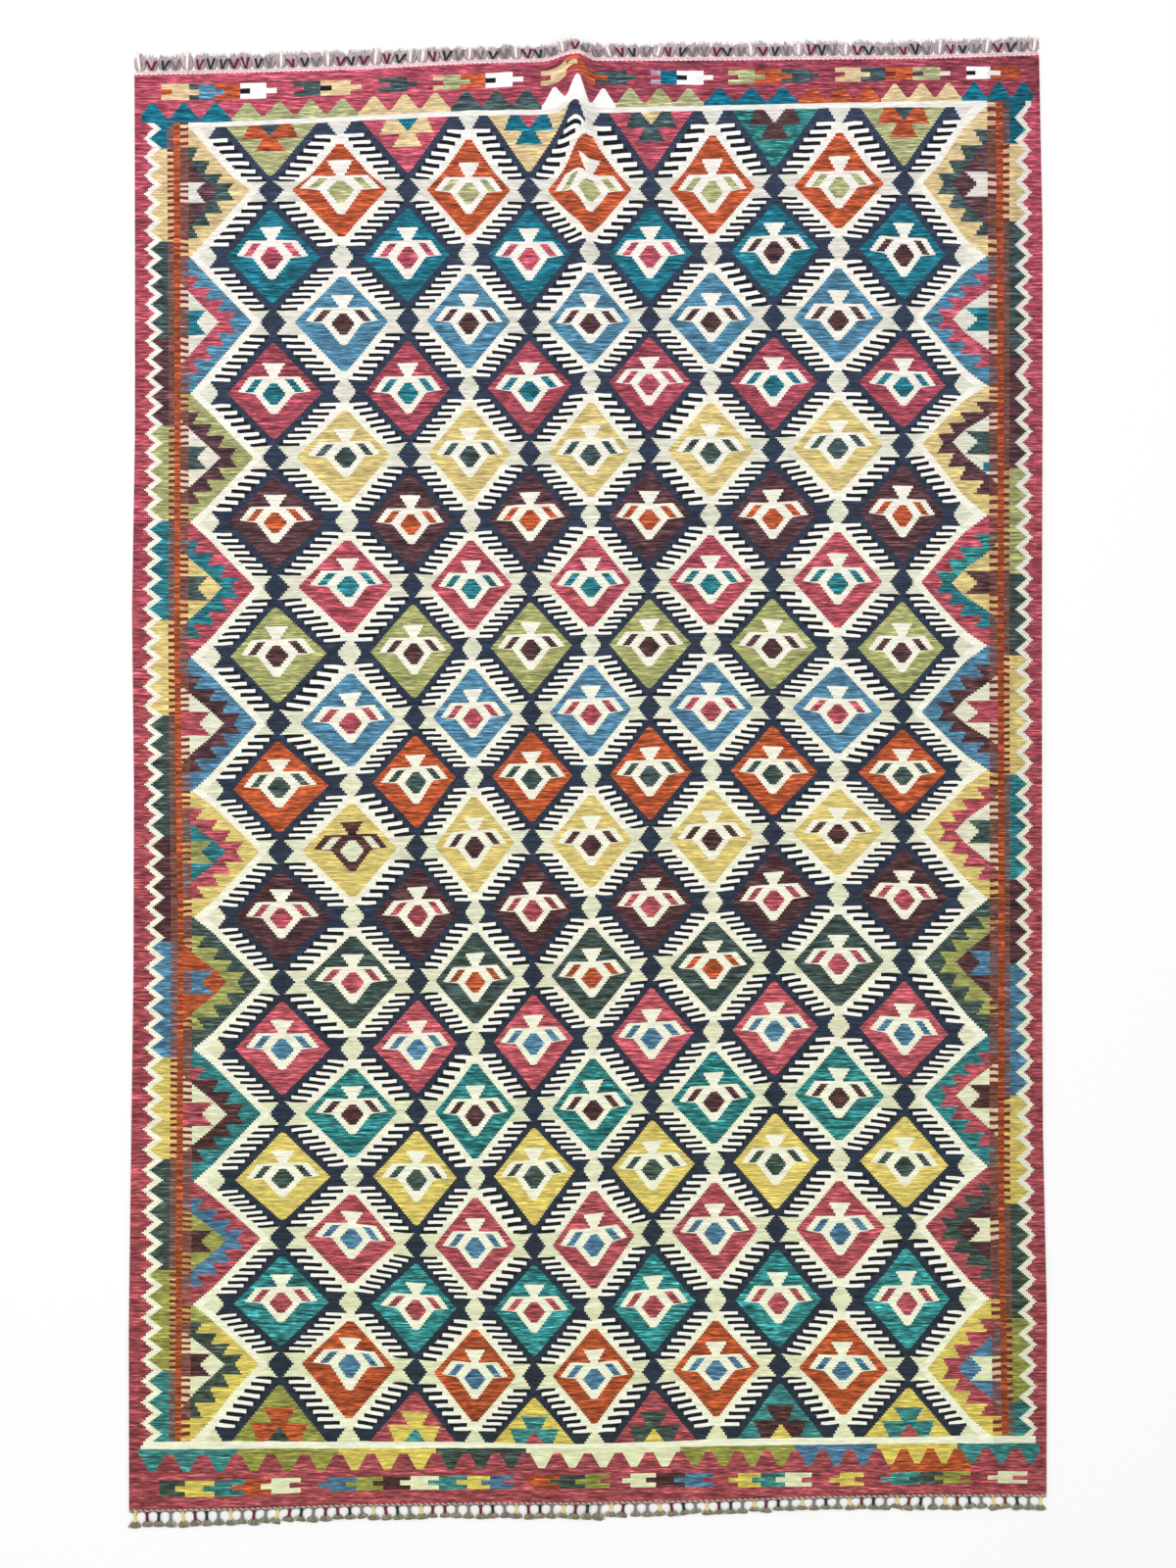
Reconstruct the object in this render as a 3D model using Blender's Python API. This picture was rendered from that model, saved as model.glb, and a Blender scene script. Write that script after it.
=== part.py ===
"""A flat-woven wool kilim rug that lies face up on the floor.

It is modelled as a weaver makes it: one woven cloth, and at each end a twined edge cord that locks
the wefts, with the knotted warp ends of the fringe fused into it. The cloth lies flat, apart from
one soft fold at the middle of its head end, which fades into the crease that runs down the rug.

Metres, +Z up, +Y towards the head end. The origin is on the floor, under the middle of the rug.
"""

import bmesh
import bpy
import numpy as np
from mathutils import Vector

# The cloth. Its width and length drive everything else.
CLOTH_WIDTH = 1.950
CLOTH_LENGTH = 3.080
CLOTH_THICKNESS = 0.003

# How far the hand-woven edges stray outwards from a true rectangle, in millimetres, at even steps.
# Both ends run uphill from left to right, so the rug is a little askew.
SIDE_SWAY = {  # from the foot end to the head end
    "left": (6.7, 7.4, 2.5, -2.7, -3.8, 0.4, -5.9, -5.9, -4.8),
    "right": (7.8, 8.8, 0.4, -1.7, -1.7, -1.7, -0.6, -0.6, -8.0),
}
END_SWAY = {  # from the left side to the right side
    "foot": (19.7, 15.5, 7.1, 4.0, 2.9, -1.3, -9.7, -13.9, -13.9),
    "head": (-23.1, -17.9, -10.5, 2.1, 7.4, 8.4, 10.5, 12.6, 20.0),
}
MM = 0.001

# The fold that stands up at the head end, and the crease that it fades into.
FOLD_HEIGHT = 0.040
FOLD_LEFT_REACH = 0.078  # its long slope
FOLD_RIGHT_REACH = 0.042  # its steep one
FOLD_FADE = 0.30  # how far down the rug it sinks to about a third
CREST_OFFSET = -0.022  # left of the middle, at the head end
CREST_FADE = 0.25
CREASE_HEIGHT = 0.0022

# Where the cloth is divided: evenly, and closer together across the fold and down its slope.
EVEN_STEPS = np.linspace(0, 1, len(END_SWAY["foot"]))
FOLD_COLUMNS = 12
FOLD_ROWS_FROM_HEAD = (0.03, 0.07, 0.12, 0.18, 0.26, 0.34, 0.50, 0.65, 0.92)

# The edge cord, and the fringe that grows out of it.
SEAM_GAP = 0.0003
CORD_WIDTH = 0.004
TASSELS = 77
TASSEL_LENGTHS = {  # in millimetres past the cord, from the left side to the right side
    "foot": (36, 33, 30, 31, 32, 27, 27, 29, 30),
    "head": (38, 40, 37, 32, 33, 34, 34, 35, 36),
}
LENGTH_SPREAD = 2.5
LEAN_SPREAD = 0.08  # sideways travel of a tassel's tip, as a share of its length
LEAN_SWELL = 0.18  # the lean that neighbours share
LEAN_WAVES = (0.37, 0.11)  # how fast that lean changes from tassel to tassel, in radians
DROOP = 0.5  # share of the fold's height that a tassel comes down by, over its length
FRINGE_SEEDS = {"head": 11, "foot": 23}

# A tassel's rings: share of its length, half its width, its height above what it lies on.
TASSEL_RINGS = (
    {"along": 0.00, "half_width": 0.0050, "height": 0.0030},  # the warps leave the cord
    {"along": 0.16, "half_width": 0.0027, "height": 0.0040},  # they are wrapped
    {"along": 0.52, "half_width": 0.0027, "height": 0.0042},  # the wrapping ends
    {"along": 0.66, "half_width": 0.0060, "height": 0.0060},  # the cut ends swell
    {"along": 0.88, "half_width": 0.0078, "height": 0.0048},
    {"along": 1.00, "half_width": 0.0055, "height": 0.0022},
)

WOVEN_COLOUR = (0.42, 0.13, 0.14, 1.0)
WARP_COLOUR = (0.55, 0.50, 0.42, 1.0)


def side_x(side, v):
    """X of the left or right side at v, from 0 at the foot to 1 at the head."""
    out = CLOTH_WIDTH / 2 + np.interp(v, EVEN_STEPS, SIDE_SWAY[side]) * MM
    return -out if side == "left" else out


def end_y(end, u):
    """Y of the foot or head end at u, from 0 at the left to 1 at the right."""
    out = CLOTH_LENGTH / 2 + np.interp(u, EVEN_STEPS, END_SWAY[end]) * MM
    return -out if end == "foot" else out


def lift(x, from_head):
    """Height of the cloth's underside: a cosine bell across the rug that fades away from the head."""
    crest = CREST_OFFSET * np.exp(-from_head / CREST_FADE)
    reach = FOLD_LEFT_REACH if x < crest else FOLD_RIGHT_REACH
    nearness = min(abs(x - crest) / reach, 1.0)
    height = CREASE_HEIGHT + (FOLD_HEIGHT - CREASE_HEIGHT) * np.exp(-from_head / FOLD_FADE)
    return height * (1 + np.cos(np.pi * nearness)) / 2


def underside(u, v):
    """The point of the cloth's underside at u across and v along."""
    x = (1 - u) * side_x("left", v) + u * side_x("right", v)
    foot, head = end_y("foot", u), end_y("head", u)
    y = foot + (head - foot) * v
    return Vector((x, y, lift(x, head - y)))


def cloth_columns():
    left = CREST_OFFSET - FOLD_LEFT_REACH
    across = np.linspace(left, FOLD_RIGHT_REACH, FOLD_COLUMNS) / CLOTH_WIDTH + 0.5
    return np.union1d(EVEN_STEPS, across)


def cloth_rows():
    return np.union1d(EVEN_STEPS, 1 - np.array(FOLD_ROWS_FROM_HEAD) / CLOTH_LENGTH)


def make_object(name, mesh, colour):
    """Turns a bmesh into a named object with its own material."""
    bmesh.ops.recalc_face_normals(mesh, faces=mesh.faces)
    data = bpy.data.meshes.new(name)
    mesh.to_mesh(data)
    mesh.free()
    material = bpy.data.materials.new(name)
    material.use_nodes = True
    shader = material.node_tree.nodes["Principled BSDF"]
    shader.inputs["Base Color"].default_value = colour
    shader.inputs["Roughness"].default_value = 0.9
    data.materials.append(material)
    obj = bpy.data.objects.new(name, data)
    bpy.context.scene.collection.objects.link(obj)
    return obj


def make_cloth():
    """The woven cloth: a grid of its underside, given its thickness straight up."""
    mesh = bmesh.new()
    columns, rows = cloth_columns(), cloth_rows()
    grid = [[mesh.verts.new(underside(u, v)) for u in columns] for v in rows]
    for near, far in zip(grid, grid[1:]):
        for i in range(len(columns) - 1):
            mesh.faces.new((near[i], far[i], far[i + 1], near[i + 1]))
    raised = bmesh.ops.extrude_face_region(mesh, geom=mesh.faces[:])["geom"]
    for item in raised:
        if isinstance(item, bmesh.types.BMVert):
            item.co.z += CLOTH_THICKNESS
    return make_object("kilim_cloth", mesh, WOVEN_COLOUR)


def tassel_leans(rng):
    """Sideways travel of each tip, as a share of length: a slow swell, and a little of its own."""
    places = np.arange(TASSELS)
    swell = np.sin(places * LEAN_WAVES[0]) * np.sin(places * LEAN_WAVES[1])
    return LEAN_SWELL * swell + rng.uniform(-LEAN_SPREAD, LEAN_SPREAD, TASSELS)


def cord_section(end, u):
    """The edge cord's four corners at u: low and high beside the cloth, then high and low outside."""
    outwards = 1 if end == "head" else -1
    start = underside(u, 1.0 if end == "head" else 0.0)
    near = start + Vector((0, outwards * SEAM_GAP, 0))
    far = near + Vector((0, outwards * CORD_WIDTH, 0))
    rise = Vector((0, 0, CLOTH_THICKNESS))
    return near, near + rise, far + rise, far


def grow_tassel(mesh, root, end, length, lean):
    """Draws the cord's root face out into one tassel, a ring at a time."""
    outwards = 1 if end == "head" else -1
    corners = [vert.co.copy() for vert in root.verts]
    middle = sum(corners, Vector()) / len(corners)
    sides = [1 if corner.x > middle.x else -1 for corner in corners]
    tops = [any(corner.z > other.z and corner.x == other.x for other in corners) for corner in corners]
    face = root
    for ring in TASSEL_RINGS[1:]:
        along = ring["along"]
        x = middle.x + lean * length * along**1.5
        y = middle.y + outwards * length * along
        low = (middle.z - CLOTH_THICKNESS / 2) * (1 - DROOP * along**2)
        face = bmesh.ops.extrude_discrete_faces(mesh, faces=[face])["faces"][0]
        for vert, side, top in zip(face.verts, sides, tops):
            vert.co = (x + side * ring["half_width"], y, low + ring["height"] * top)


def make_fringe(end):
    """The edge cord at one end, as a square bar along the cloth's edge, and its tassels."""
    rng = np.random.default_rng(FRINGE_SEEDS[end])
    leans = tassel_leans(rng)
    centres = (np.arange(TASSELS) + 0.5) / TASSELS
    lengths = np.interp(centres, EVEN_STEPS, TASSEL_LENGTHS[end])
    lengths = (lengths + rng.uniform(-LENGTH_SPREAD, LENGTH_SPREAD, TASSELS)) * MM
    half_root = TASSEL_RINGS[0]["half_width"] / CLOTH_WIDTH
    stations = np.sort(np.concatenate([[0, 1], centres - half_root, centres + half_root]))

    mesh = bmesh.new()
    bars = [[mesh.verts.new(corner) for corner in cord_section(end, u)] for u in stations]
    roots = []
    for step, (here, there) in enumerate(zip(bars, bars[1:])):
        walls = [
            mesh.faces.new((here[i], here[i - 1], there[i - 1], there[i])) for i in range(len(here))
        ]
        if step % 2 == 1:
            roots.append(walls[-1])  # between the two outside corners
    mesh.faces.new(bars[0])
    mesh.faces.new(bars[-1][::-1])
    bmesh.ops.recalc_face_normals(mesh, faces=mesh.faces)
    for root, length, lean in zip(roots, lengths, leans):
        grow_tassel(mesh, root, end, length, lean)
    return make_object(f"fringe_{end}", mesh, WARP_COLOUR)


def centre_on_floor(objects):
    """Moves the meshes so that the whole rug's box is centred over the origin."""
    points = np.array([v.co for obj in objects for v in obj.data.vertices])
    middle = (points.min(axis=0) + points.max(axis=0)) / 2
    for obj in objects:
        for vert in obj.data.vertices:
            vert.co.x -= middle[0]
            vert.co.y -= middle[1]


def main():
    for obj in list(bpy.data.objects):
        bpy.data.objects.remove(obj)
    centre_on_floor([make_cloth(), make_fringe("head"), make_fringe("foot")])


main()
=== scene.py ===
# %% [markdown]
# # A flat-woven kilim, laid on a pale floor
#
# A kilim has no pile. Its whole picture is made by coloured wool wefts that go over and under the
# warps and turn back wherever the colour changes, so every edge in it is a small staircase. This
# lesson builds the cloth as one thin sheet on the folds of its CAD solid, counts out the pattern on
# it as a weaver does, and ties the fringe to both ends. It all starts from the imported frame.

import bpy
import numpy as np
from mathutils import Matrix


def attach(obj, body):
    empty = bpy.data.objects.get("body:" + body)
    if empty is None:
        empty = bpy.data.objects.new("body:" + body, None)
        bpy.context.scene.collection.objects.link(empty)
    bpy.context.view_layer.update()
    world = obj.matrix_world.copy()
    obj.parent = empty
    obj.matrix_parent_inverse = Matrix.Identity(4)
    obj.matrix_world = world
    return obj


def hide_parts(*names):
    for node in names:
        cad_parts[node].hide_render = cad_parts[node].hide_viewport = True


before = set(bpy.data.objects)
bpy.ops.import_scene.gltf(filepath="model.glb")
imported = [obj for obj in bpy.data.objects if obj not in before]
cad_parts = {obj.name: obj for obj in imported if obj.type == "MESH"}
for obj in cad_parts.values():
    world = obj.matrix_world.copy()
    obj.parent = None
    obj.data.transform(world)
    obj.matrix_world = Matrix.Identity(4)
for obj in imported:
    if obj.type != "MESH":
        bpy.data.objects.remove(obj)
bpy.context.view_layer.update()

# %% [markdown]
# ## Measures
#
# The rug is measured on its photograph, where one pixel is 2.1 mm. Every place in the pattern below
# is written in those pixels, counted from the top left, as one would write it on a printed chart.
# Two short helpers turn metres on the floor into chart places and back.

# %% Measures
MM = 0.001
CHART_STEP = 2.1 * MM  # one step of the chart, on the floor
CHART_MIDDLE = (599.8, 798.0)  # the step over the origin


def chart_x(x):
    """Metres to the right of the origin as a chart place: divided by the step, from the middle."""
    return CHART_MIDDLE[0] + x / CHART_STEP


def chart_y(y):
    """Metres up the rug as a chart place, which counts downwards."""
    return CHART_MIDDLE[1] - y / CHART_STEP


print("a chart step is", CHART_STEP, "m")

# %% [markdown]
# ## The cloth's shape
#
# These are the same named values that the CAD solid was made from, so the sheet lies exactly on it:
# hand-woven edges that stray a few millimetres, one soft fold at the head end, and the faint crease
# that the fold runs out into. The fold is a cosine bell across the rug. Its left slope is long and
# its right one steep, and it sinks towards the foot.

# %% The cloth's outline and folds
CLOTH_WIDTH = 1.950
CLOTH_LENGTH = 3.080
CLOTH_THICKNESS = 0.003
BOX_SHIFT = (-0.0007, 0.0009)  # the solid is centred on its box
EVEN_STEPS = np.linspace(0, 1, 9)
SIDE_SWAY = {  # outwards in millimetres, from the foot to the head
    "left": (6.7, 7.4, 2.5, -2.7, -3.8, 0.4, -5.9, -5.9, -4.8),
    "right": (7.8, 8.8, 0.4, -1.7, -1.7, -1.7, -0.6, -0.6, -8.0),
}
END_SWAY = {  # outwards in millimetres, from left to right
    "foot": (19.7, 15.5, 7.1, 4.0, 2.9, -1.3, -9.7, -13.9, -13.9),
    "head": (-23.1, -17.9, -10.5, 2.1, 7.4, 8.4, 10.5, 12.6, 20.0),
}
FOLD_HEIGHT = 0.040
FOLD_REACH = {"left": 0.078, "right": 0.042}
FOLD_FADE = 0.30
CREST_OFFSET = -0.022
CREST_FADE = 0.25
CREASE_HEIGHT = 0.0022


def side_x(side, v):
    """X of a side at v: half the width, and how far the edge strays there."""
    out = CLOTH_WIDTH / 2 + np.interp(v, EVEN_STEPS, SIDE_SWAY[side]) * MM
    return -out if side == "left" else out


def end_y(end, u):
    """Y of an end at u: half the length, and how far the edge strays there."""
    out = CLOTH_LENGTH / 2 + np.interp(u, EVEN_STEPS, END_SWAY[end]) * MM
    return -out if end == "foot" else out


def lift(x, from_head):
    """Height of the underside: a cosine bell round the crest, which fades away from the head."""
    crest = CREST_OFFSET * np.exp(-from_head / CREST_FADE)
    reach = np.where(x < crest, FOLD_REACH["left"], FOLD_REACH["right"])
    nearness = np.minimum(np.abs(x - crest) / reach, 1)
    height = CREASE_HEIGHT + (FOLD_HEIGHT - CREASE_HEIGHT) * np.exp(-from_head / FOLD_FADE)
    return height * (1 + np.cos(np.pi * nearness)) / 2


def underside(u, v):
    """The cloth's underside at u across and v along, straight lines between its sides and ends."""
    x = (1 - u) * side_x("left", v) + u * side_x("right", v)
    foot, head = end_y("foot", u), end_y("head", u)
    y = foot + (head - foot) * v
    z = lift(x, head - y)
    return np.stack(np.broadcast_arrays(x + BOX_SHIFT[0], y + BOX_SHIFT[1], z), axis=-1)


print("head end at", underside(np.array([0, 0.5, 1]), 1.0).round(4).tolist())

# %% [markdown]
# ## The sheet
#
# A grid of points gives the underside, and the upper side is the same grid one cloth thickness
# higher. The two share their outermost points and thin out over the last millimetre and a half, so
# the selvedge is round, as it is where the wefts turn back. The grid is closer where the fold
# bends. A wool rug never lies dead flat, so a slow swell of half a millimetre runs through it.

# %% The grid of the sheet
SELVEDGE = 0.0015  # the cloth rounds off over this distance
SELVEDGE_STEPS = np.array([0, 0.2, 0.6, 1.0]) * SELVEDGE
FOLD_SPAN = (-0.110, 0.056)  # metres across, where the columns are closer
FOLD_LENGTH = 0.36  # metres from the head, where the rows are closer
SWELL = 0.0005


def divisions(length, coarse, close, span):
    """Places from 0 to 1: even ones, closer ones within the span, and the selvedge's at both ends."""
    even = np.linspace(0, 1, round(length / coarse) + 1)[1:-1]
    fine = np.linspace(*span, round((span[1] - span[0]) / close) + 1) / length
    rest = even[(even < fine[0] - coarse / length / 2) | (even > fine[-1] + coarse / length / 2)]
    edge = SELVEDGE_STEPS / length
    return np.unique(np.concatenate([edge, rest, fine[(fine > edge[-1]) & (fine < 1 - edge[-1])], 1 - edge]))


across = divisions(CLOTH_WIDTH, 0.0135, 0.005, np.array(FOLD_SPAN) + CLOTH_WIDTH / 2)
down = divisions(CLOTH_LENGTH, 0.0130, 0.008, (CLOTH_LENGTH - FOLD_LENGTH, CLOTH_LENGTH - SELVEDGE))
U, V = np.meshgrid(across, down)


def rounding(u, v):
    """Share of the thickness left: a quarter circle over the selvedge, and one inside it."""
    inside = np.minimum(np.minimum(u, 1 - u) * CLOTH_WIDTH, np.minimum(v, 1 - v) * CLOTH_LENGTH)
    share = np.clip(inside / SELVEDGE, 0, 1)
    return np.sqrt(1 - (1 - share) ** 2)


def swell(points):
    """A slow rise and fall of the cloth: two crossing sine waves, never below the floor."""
    x, y = points[..., 0], points[..., 1]
    waves = np.sin(3.1 * x + 1.3 * y) * np.sin(0.7 * x - 4.3 * y + 0.6)
    return SWELL * (1 + waves) / 2


def sheet_sides():
    """Upper and lower points of the sheet, as two arrays of rows, columns and x, y, z."""
    low = underside(U, V)
    low[..., 2] += swell(low)
    half = CLOTH_THICKNESS / 2
    middle = low + [0, 0, half]
    rise = np.zeros_like(low)
    rise[..., 2] = half * rounding(U, V)
    return middle + rise, middle - rise


upper, lower = sheet_sides()
print("grid", upper.shape[:2], "highest point", round(float(upper[..., 2].max()), 4))

# %% Closing the sheet
def sheet_faces(shape):
    """Quads of the upper grid and, wound the other way, of the lower one; they share their rims."""
    rows, columns = shape
    top = np.arange(rows * columns).reshape(shape)
    inner = np.zeros(shape, bool)
    inner[1:-1, 1:-1] = True
    bottom = top.copy()
    bottom[inner] = rows * columns + np.arange(inner.sum())

    def quads(index):
        return np.stack([index[:-1, :-1], index[:-1, 1:], index[1:, 1:], index[1:, :-1]], -1).reshape(-1, 4)

    return np.concatenate([quads(top), quads(bottom)[:, ::-1]]), inner


def new_piece(name, points, faces):
    """A mesh object of that name, smooth all over, from arrays of points and faces."""
    mesh = bpy.data.meshes.new(name)
    mesh.from_pydata(points.reshape(-1, 3).tolist(), [], [list(face) for face in faces])
    mesh.shade_smooth()
    mesh.update()
    piece = bpy.data.objects.new(name, mesh)
    bpy.context.scene.collection.objects.link(piece)
    return piece


faces, inner = sheet_faces(U.shape)
cloth = new_piece("kilim_weave", np.concatenate([upper.reshape(-1, 3), lower[inner]]), faces.tolist())
print(cloth.name, len(cloth.data.vertices), "points", len(cloth.data.polygons), "quads")

# %% [markdown]
# ## Counting the pattern
#
# A weaver doesn't measure a pattern but counts it, and a hand-woven count drifts: the rows climb a
# little here and sag a little there. The finish should drift in the same way, and stay on the cloth
# when it moves. So the cloth carries its own counts as attributes, one number at each point, and
# the finish only ever reads counts.
#
# The tables say where each counted line runs. They were read off the photograph, line by
# line. Between two lines the count rises evenly: a sum of clipped ramps, one for each gap.

# %% How a count is read
def counted(place, marks, counts):
    """The count at each place: for every gap between two marks, the clipped share of it, added up."""
    total = np.full(np.broadcast(place, marks[0]).shape, float(counts[0]))
    for near, far, start, stop in zip(marks, marks[1:], counts, counts[1:]):
        total += np.clip((place - near) / (far - near), 0, 1) * (stop - start)
    return total


print("halfway is", counted(np.array([15.0]), [10.0, 20.0, 40.0], [0, 1, 2]))

# %% [markdown]
# ### Columns
#
# The field is a lattice of diamonds. Its columns are numbered 0 to 12 from left to right, half a
# diamond apart, and a diamond stands where column and row add up to an odd number. Outside column 0
# the count goes on below nought over the border: the comb stitches, the orange rib, the comb
# stitches again, the plain band and the zigzag. The right side mirrors it above 12.

# %% The columns
STATIONS = (126, 395, 660, 930, 1200, 1470)  # heights at which the columns were read
COLUMNS = (  # 0 to 12, each at the six stations
    (209, 211, 214, 219, 218, 215),
    (275, 279.5, 282, 287, 289, 285),
    (346.5, 352, 357.6, 360.5, 360, 356),
    (416.5, 416.5, 422.5, 427, 425.5, 424),
    (478.5, 478.5, 482, 485, 485, 484.5),
    (539.6, 540, 541.5, 543.5, 545, 545),
    (601, 603, 603, 603.5, 606, 606.5),
    (664.4, 662, 662, 664, 665.5, 667),
    (727, 725, 725, 727, 729, 731),
    (790, 789, 787.5, 789, 791, 797),
    (856.5, 854.5, 854.5, 855, 856, 860.5),
    (922.3, 922, 920, 922.5, 923, 928),
    (984, 984, 983, 988, 988, 990),
)
BORDER_COUNTS = (0.27, 0.38, 0.485, 0.59, 0.86, 1.12)  # how far outside the last column
BORDER_LINES = {  # comb, rib, comb, band, middle of the zigzag
    "left": (
        (192, 192, 191.5, 195, 195, 193),
        (184.5, 185.2, 184.5, 188, 187.3, 185.3),
        (177, 178.5, 178, 181.6, 180.5, 179),
        (170, 172, 171.5, 174, 173, 172),
        (153.5, 156, 153, 157, 153.5, 152.6),
    ),
    "right": (
        (1008.5, 1010.5, 1010.7, 1010.7, 1010.5, 1014.3),
        (1015, 1017, 1017.2, 1017.9, 1017.6, 1021.4),
        (1023.2, 1024, 1024.1, 1025, 1024.3, 1028.5),
        (1030.4, 1030.2, 1030.4, 1030.8, 1031, 1034.5),
        (1045.3, 1046, 1047, 1046.8, 1048.5, 1051.8),
    ),
}
LAST_COLUMN = 12


def column_count(x, y):
    """The column count over the whole cloth, borders included, out to its own two edges."""
    read = [np.interp(y, STATIONS, line) for line in COLUMNS]
    left = [np.interp(y, STATIONS, line) for line in BORDER_LINES["left"]] + [x[:, :1]]
    right = [np.interp(y, STATIONS, line) for line in BORDER_LINES["right"]] + [x[:, -1:]]
    marks = left[::-1] + read + right
    outside = np.array(BORDER_COUNTS)
    counts = [*-outside[::-1], *range(LAST_COLUMN + 1), *(LAST_COLUMN + outside)]
    return counted(x, marks, counts)


place_x, place_y = chart_x(upper[..., 0]), chart_y(upper[..., 1])
column = column_count(place_x, place_y)
print("columns run from", column.min().round(2), "to", column.max().round(2))

# %% [markdown]
# ### Rows
#
# Rows 1 to 19 are rows of diamonds, and rows 0 and 20 are the cream lines that frame the field.
# Beyond them lie the toothed bands, the rows of little blocks and the plain ends. Each line of the
# table gives the row count first and then its height at each of the thirteen columns.
#
# The fold drags the pattern with it: over the crest the lines are pulled up by a few steps, and
# just right of it, in the crease, they dip.

# %% The rows
ROW_LINES = (
    (-0.78, 74, 70, 70, 67, 64, 62, 61.5, 61, 61, 60.5, 60, 60, 60),
    (-0.62, 86.4, 85, 82, 79, 76, 73.5, 73, 72.5, 73, 71.5, 69.5, 69, 68.5),
    (-0.40, 103, 100.5, 97, 93.5, 91, 88.5, 87.5, 86.5, 87, 85.5, 84, 82.5, 81.5),
    (-0.34, 106, 105, 101, 96, 93, 91.5, 91, 91, 90.5, 90, 88.5, 86.5, 84),
    (-0.08, 126, 122.5, 119.5, 116, 113.5, 112.5, 111, 109.3, 108.3, 107, 105.3, 104.3, 103.5),
    (0.00, 130.5, 127, 124.3, 121, 118.5, 117.5, 116, 114.5, 113.5, 112, 110.5, 110, 109.5),
    (0.70, 181, 180, 178, 176, 176, 175.8, 175, 174, 172.5, 170.6, 169.5, 169, 167.5),
    (1, 195, 194, 193, 194, 194.5, 195, 195, 193, 194, 190.5, 189.5, 186, 188),
    (2, 263, 263, 263, 260, 260, 261.5, 260, 259, 258.5, 254, 252.5, 258, 262),
    (3, 329, 329, 330, 327, 327, 329, 330, 326.5, 326.5, 325, 325, 325, 326),
    (4, 402, 402, 400, 399, 396, 397, 390, 389, 391, 391, 389, 393, 394),
    (5, 467.5, 467.5, 466, 464, 463, 463, 463, 460, 460, 459, 455, 454, 450.5),
    (6, 533, 532.5, 532, 533, 532, 528, 526, 528, 526, 527, 522, 523.5, 526),
    (7, 600, 599.5, 597.5, 597.5, 598.5, 596, 597.5, 592.5, 594, 591.5, 593, 594, 595),
    (8, 671, 668.5, 666, 664, 661.5, 660, 658, 657, 656.5, 659.5, 661, 664, 659),
    (9, 738.5, 738, 738, 733, 731, 728, 727, 721.5, 723, 721.5, 726.5, 726, 727),
    (10, 807, 802.5, 801, 795, 792, 792, 791, 789, 785.5, 788, 787, 789.5, 785.5),
    (11, 869, 869, 867, 865.5, 861.5, 858.5, 860, 856, 854, 850, 848, 847.5, 848),
    (12, 936, 936, 936, 931, 931, 926.5, 925, 922, 921, 915.5, 912, 915, 917),
    (13, 1002, 1002, 1001.5, 1001.5, 1000, 995.5, 995.5, 988, 985.5, 981.5, 981, 980, 981.5),
    (14, 1070, 1070, 1070, 1068, 1063.5, 1062, 1058, 1056.5, 1052, 1049, 1046, 1053, 1056.5),
    (15, 1136.5, 1136, 1136.5, 1134, 1136, 1131.5, 1130.5, 1124, 1121.5, 1116, 1117.5, 1118.5, 1117.5),
    (16, 1205, 1202, 1199.5, 1200.5, 1201.5, 1197, 1192, 1190, 1186, 1184.5, 1182.5, 1187.5, 1190),
    (17, 1266, 1262, 1262, 1271, 1270, 1272, 1268, 1257, 1255, 1253, 1256, 1250, 1253.5),
    (18, 1331, 1328, 1328.5, 1333, 1335.5, 1335.5, 1334.5, 1330, 1326, 1327, 1324.5, 1327, 1324.5),
    (19, 1392, 1391, 1390.5, 1398.5, 1403.5, 1403, 1404, 1399, 1396, 1393, 1397, 1397, 1396),
    (19.30, 1412, 1412.5, 1416, 1419.5, 1423, 1426.5, 1423, 1418.5, 1414, 1411, 1413, 1416, 1416),
    (20, 1470, 1470, 1470, 1470, 1471, 1473, 1473, 1471, 1468, 1467, 1465.5, 1465, 1464),
    (20.08, 1478.5, 1478, 1478, 1477, 1477, 1477, 1477, 1476.5, 1475.5, 1475, 1474, 1473, 1473),
    (20.40, 1501, 1500.5, 1500, 1499.5, 1498.5, 1498, 1497, 1496.5, 1496, 1495, 1494.4, 1493, 1491.5),
    (20.52, 1510, 1507.5, 1506.5, 1505, 1505, 1505, 1503.5, 1502, 1502, 1502, 1502, 1502, 1501),
    (20.74, 1527, 1524, 1521, 1519.5, 1519, 1518.5, 1518, 1517, 1517, 1517, 1517, 1515, 1513),
    (20.97, 1539.5, 1538.5, 1535, 1533.5, 1533, 1533, 1532, 1531, 1531, 1527, 1525, 1525, 1524),
)
PULL = 10.0  # chart steps that the pattern is pulled up over the crest, at the head end
PULL_PLACE = (586, 600)  # across, at the head end and well below it
PULL_WIDTH = 11.0
DIP = 4.0
DIP_WIDTH = 5.0
DIP_PLACE = 600
PULL_FADE = 170.0


def pulled(x, y):
    """How far the fold drags the lines up: a bell over the crest, less a narrow one in the crease."""
    down_the_rug = y - ROW_LINES[0][7]
    fade = np.exp(-((down_the_rug / PULL_FADE) ** 2))
    crest = PULL_PLACE[1] + (PULL_PLACE[0] - PULL_PLACE[1]) * fade
    rise = PULL * np.exp(-(((x - crest) / PULL_WIDTH) ** 2))
    dip = DIP * np.exp(-(((x - DIP_PLACE) / DIP_WIDTH) ** 2))
    return fade * (rise - dip)


def row_count(x, y):
    """The row count over the whole cloth, between lines that wander as the table says."""
    centres = [np.mean(line) for line in COLUMNS]
    lines = [np.interp(x, centres, line[1:]) for line in ROW_LINES]
    return counted(y + pulled(x, y), lines, [line[0] for line in ROW_LINES])


row = row_count(place_x, place_y)
print("rows run from", row.min().round(2), "to", row.max().round(2))

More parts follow.
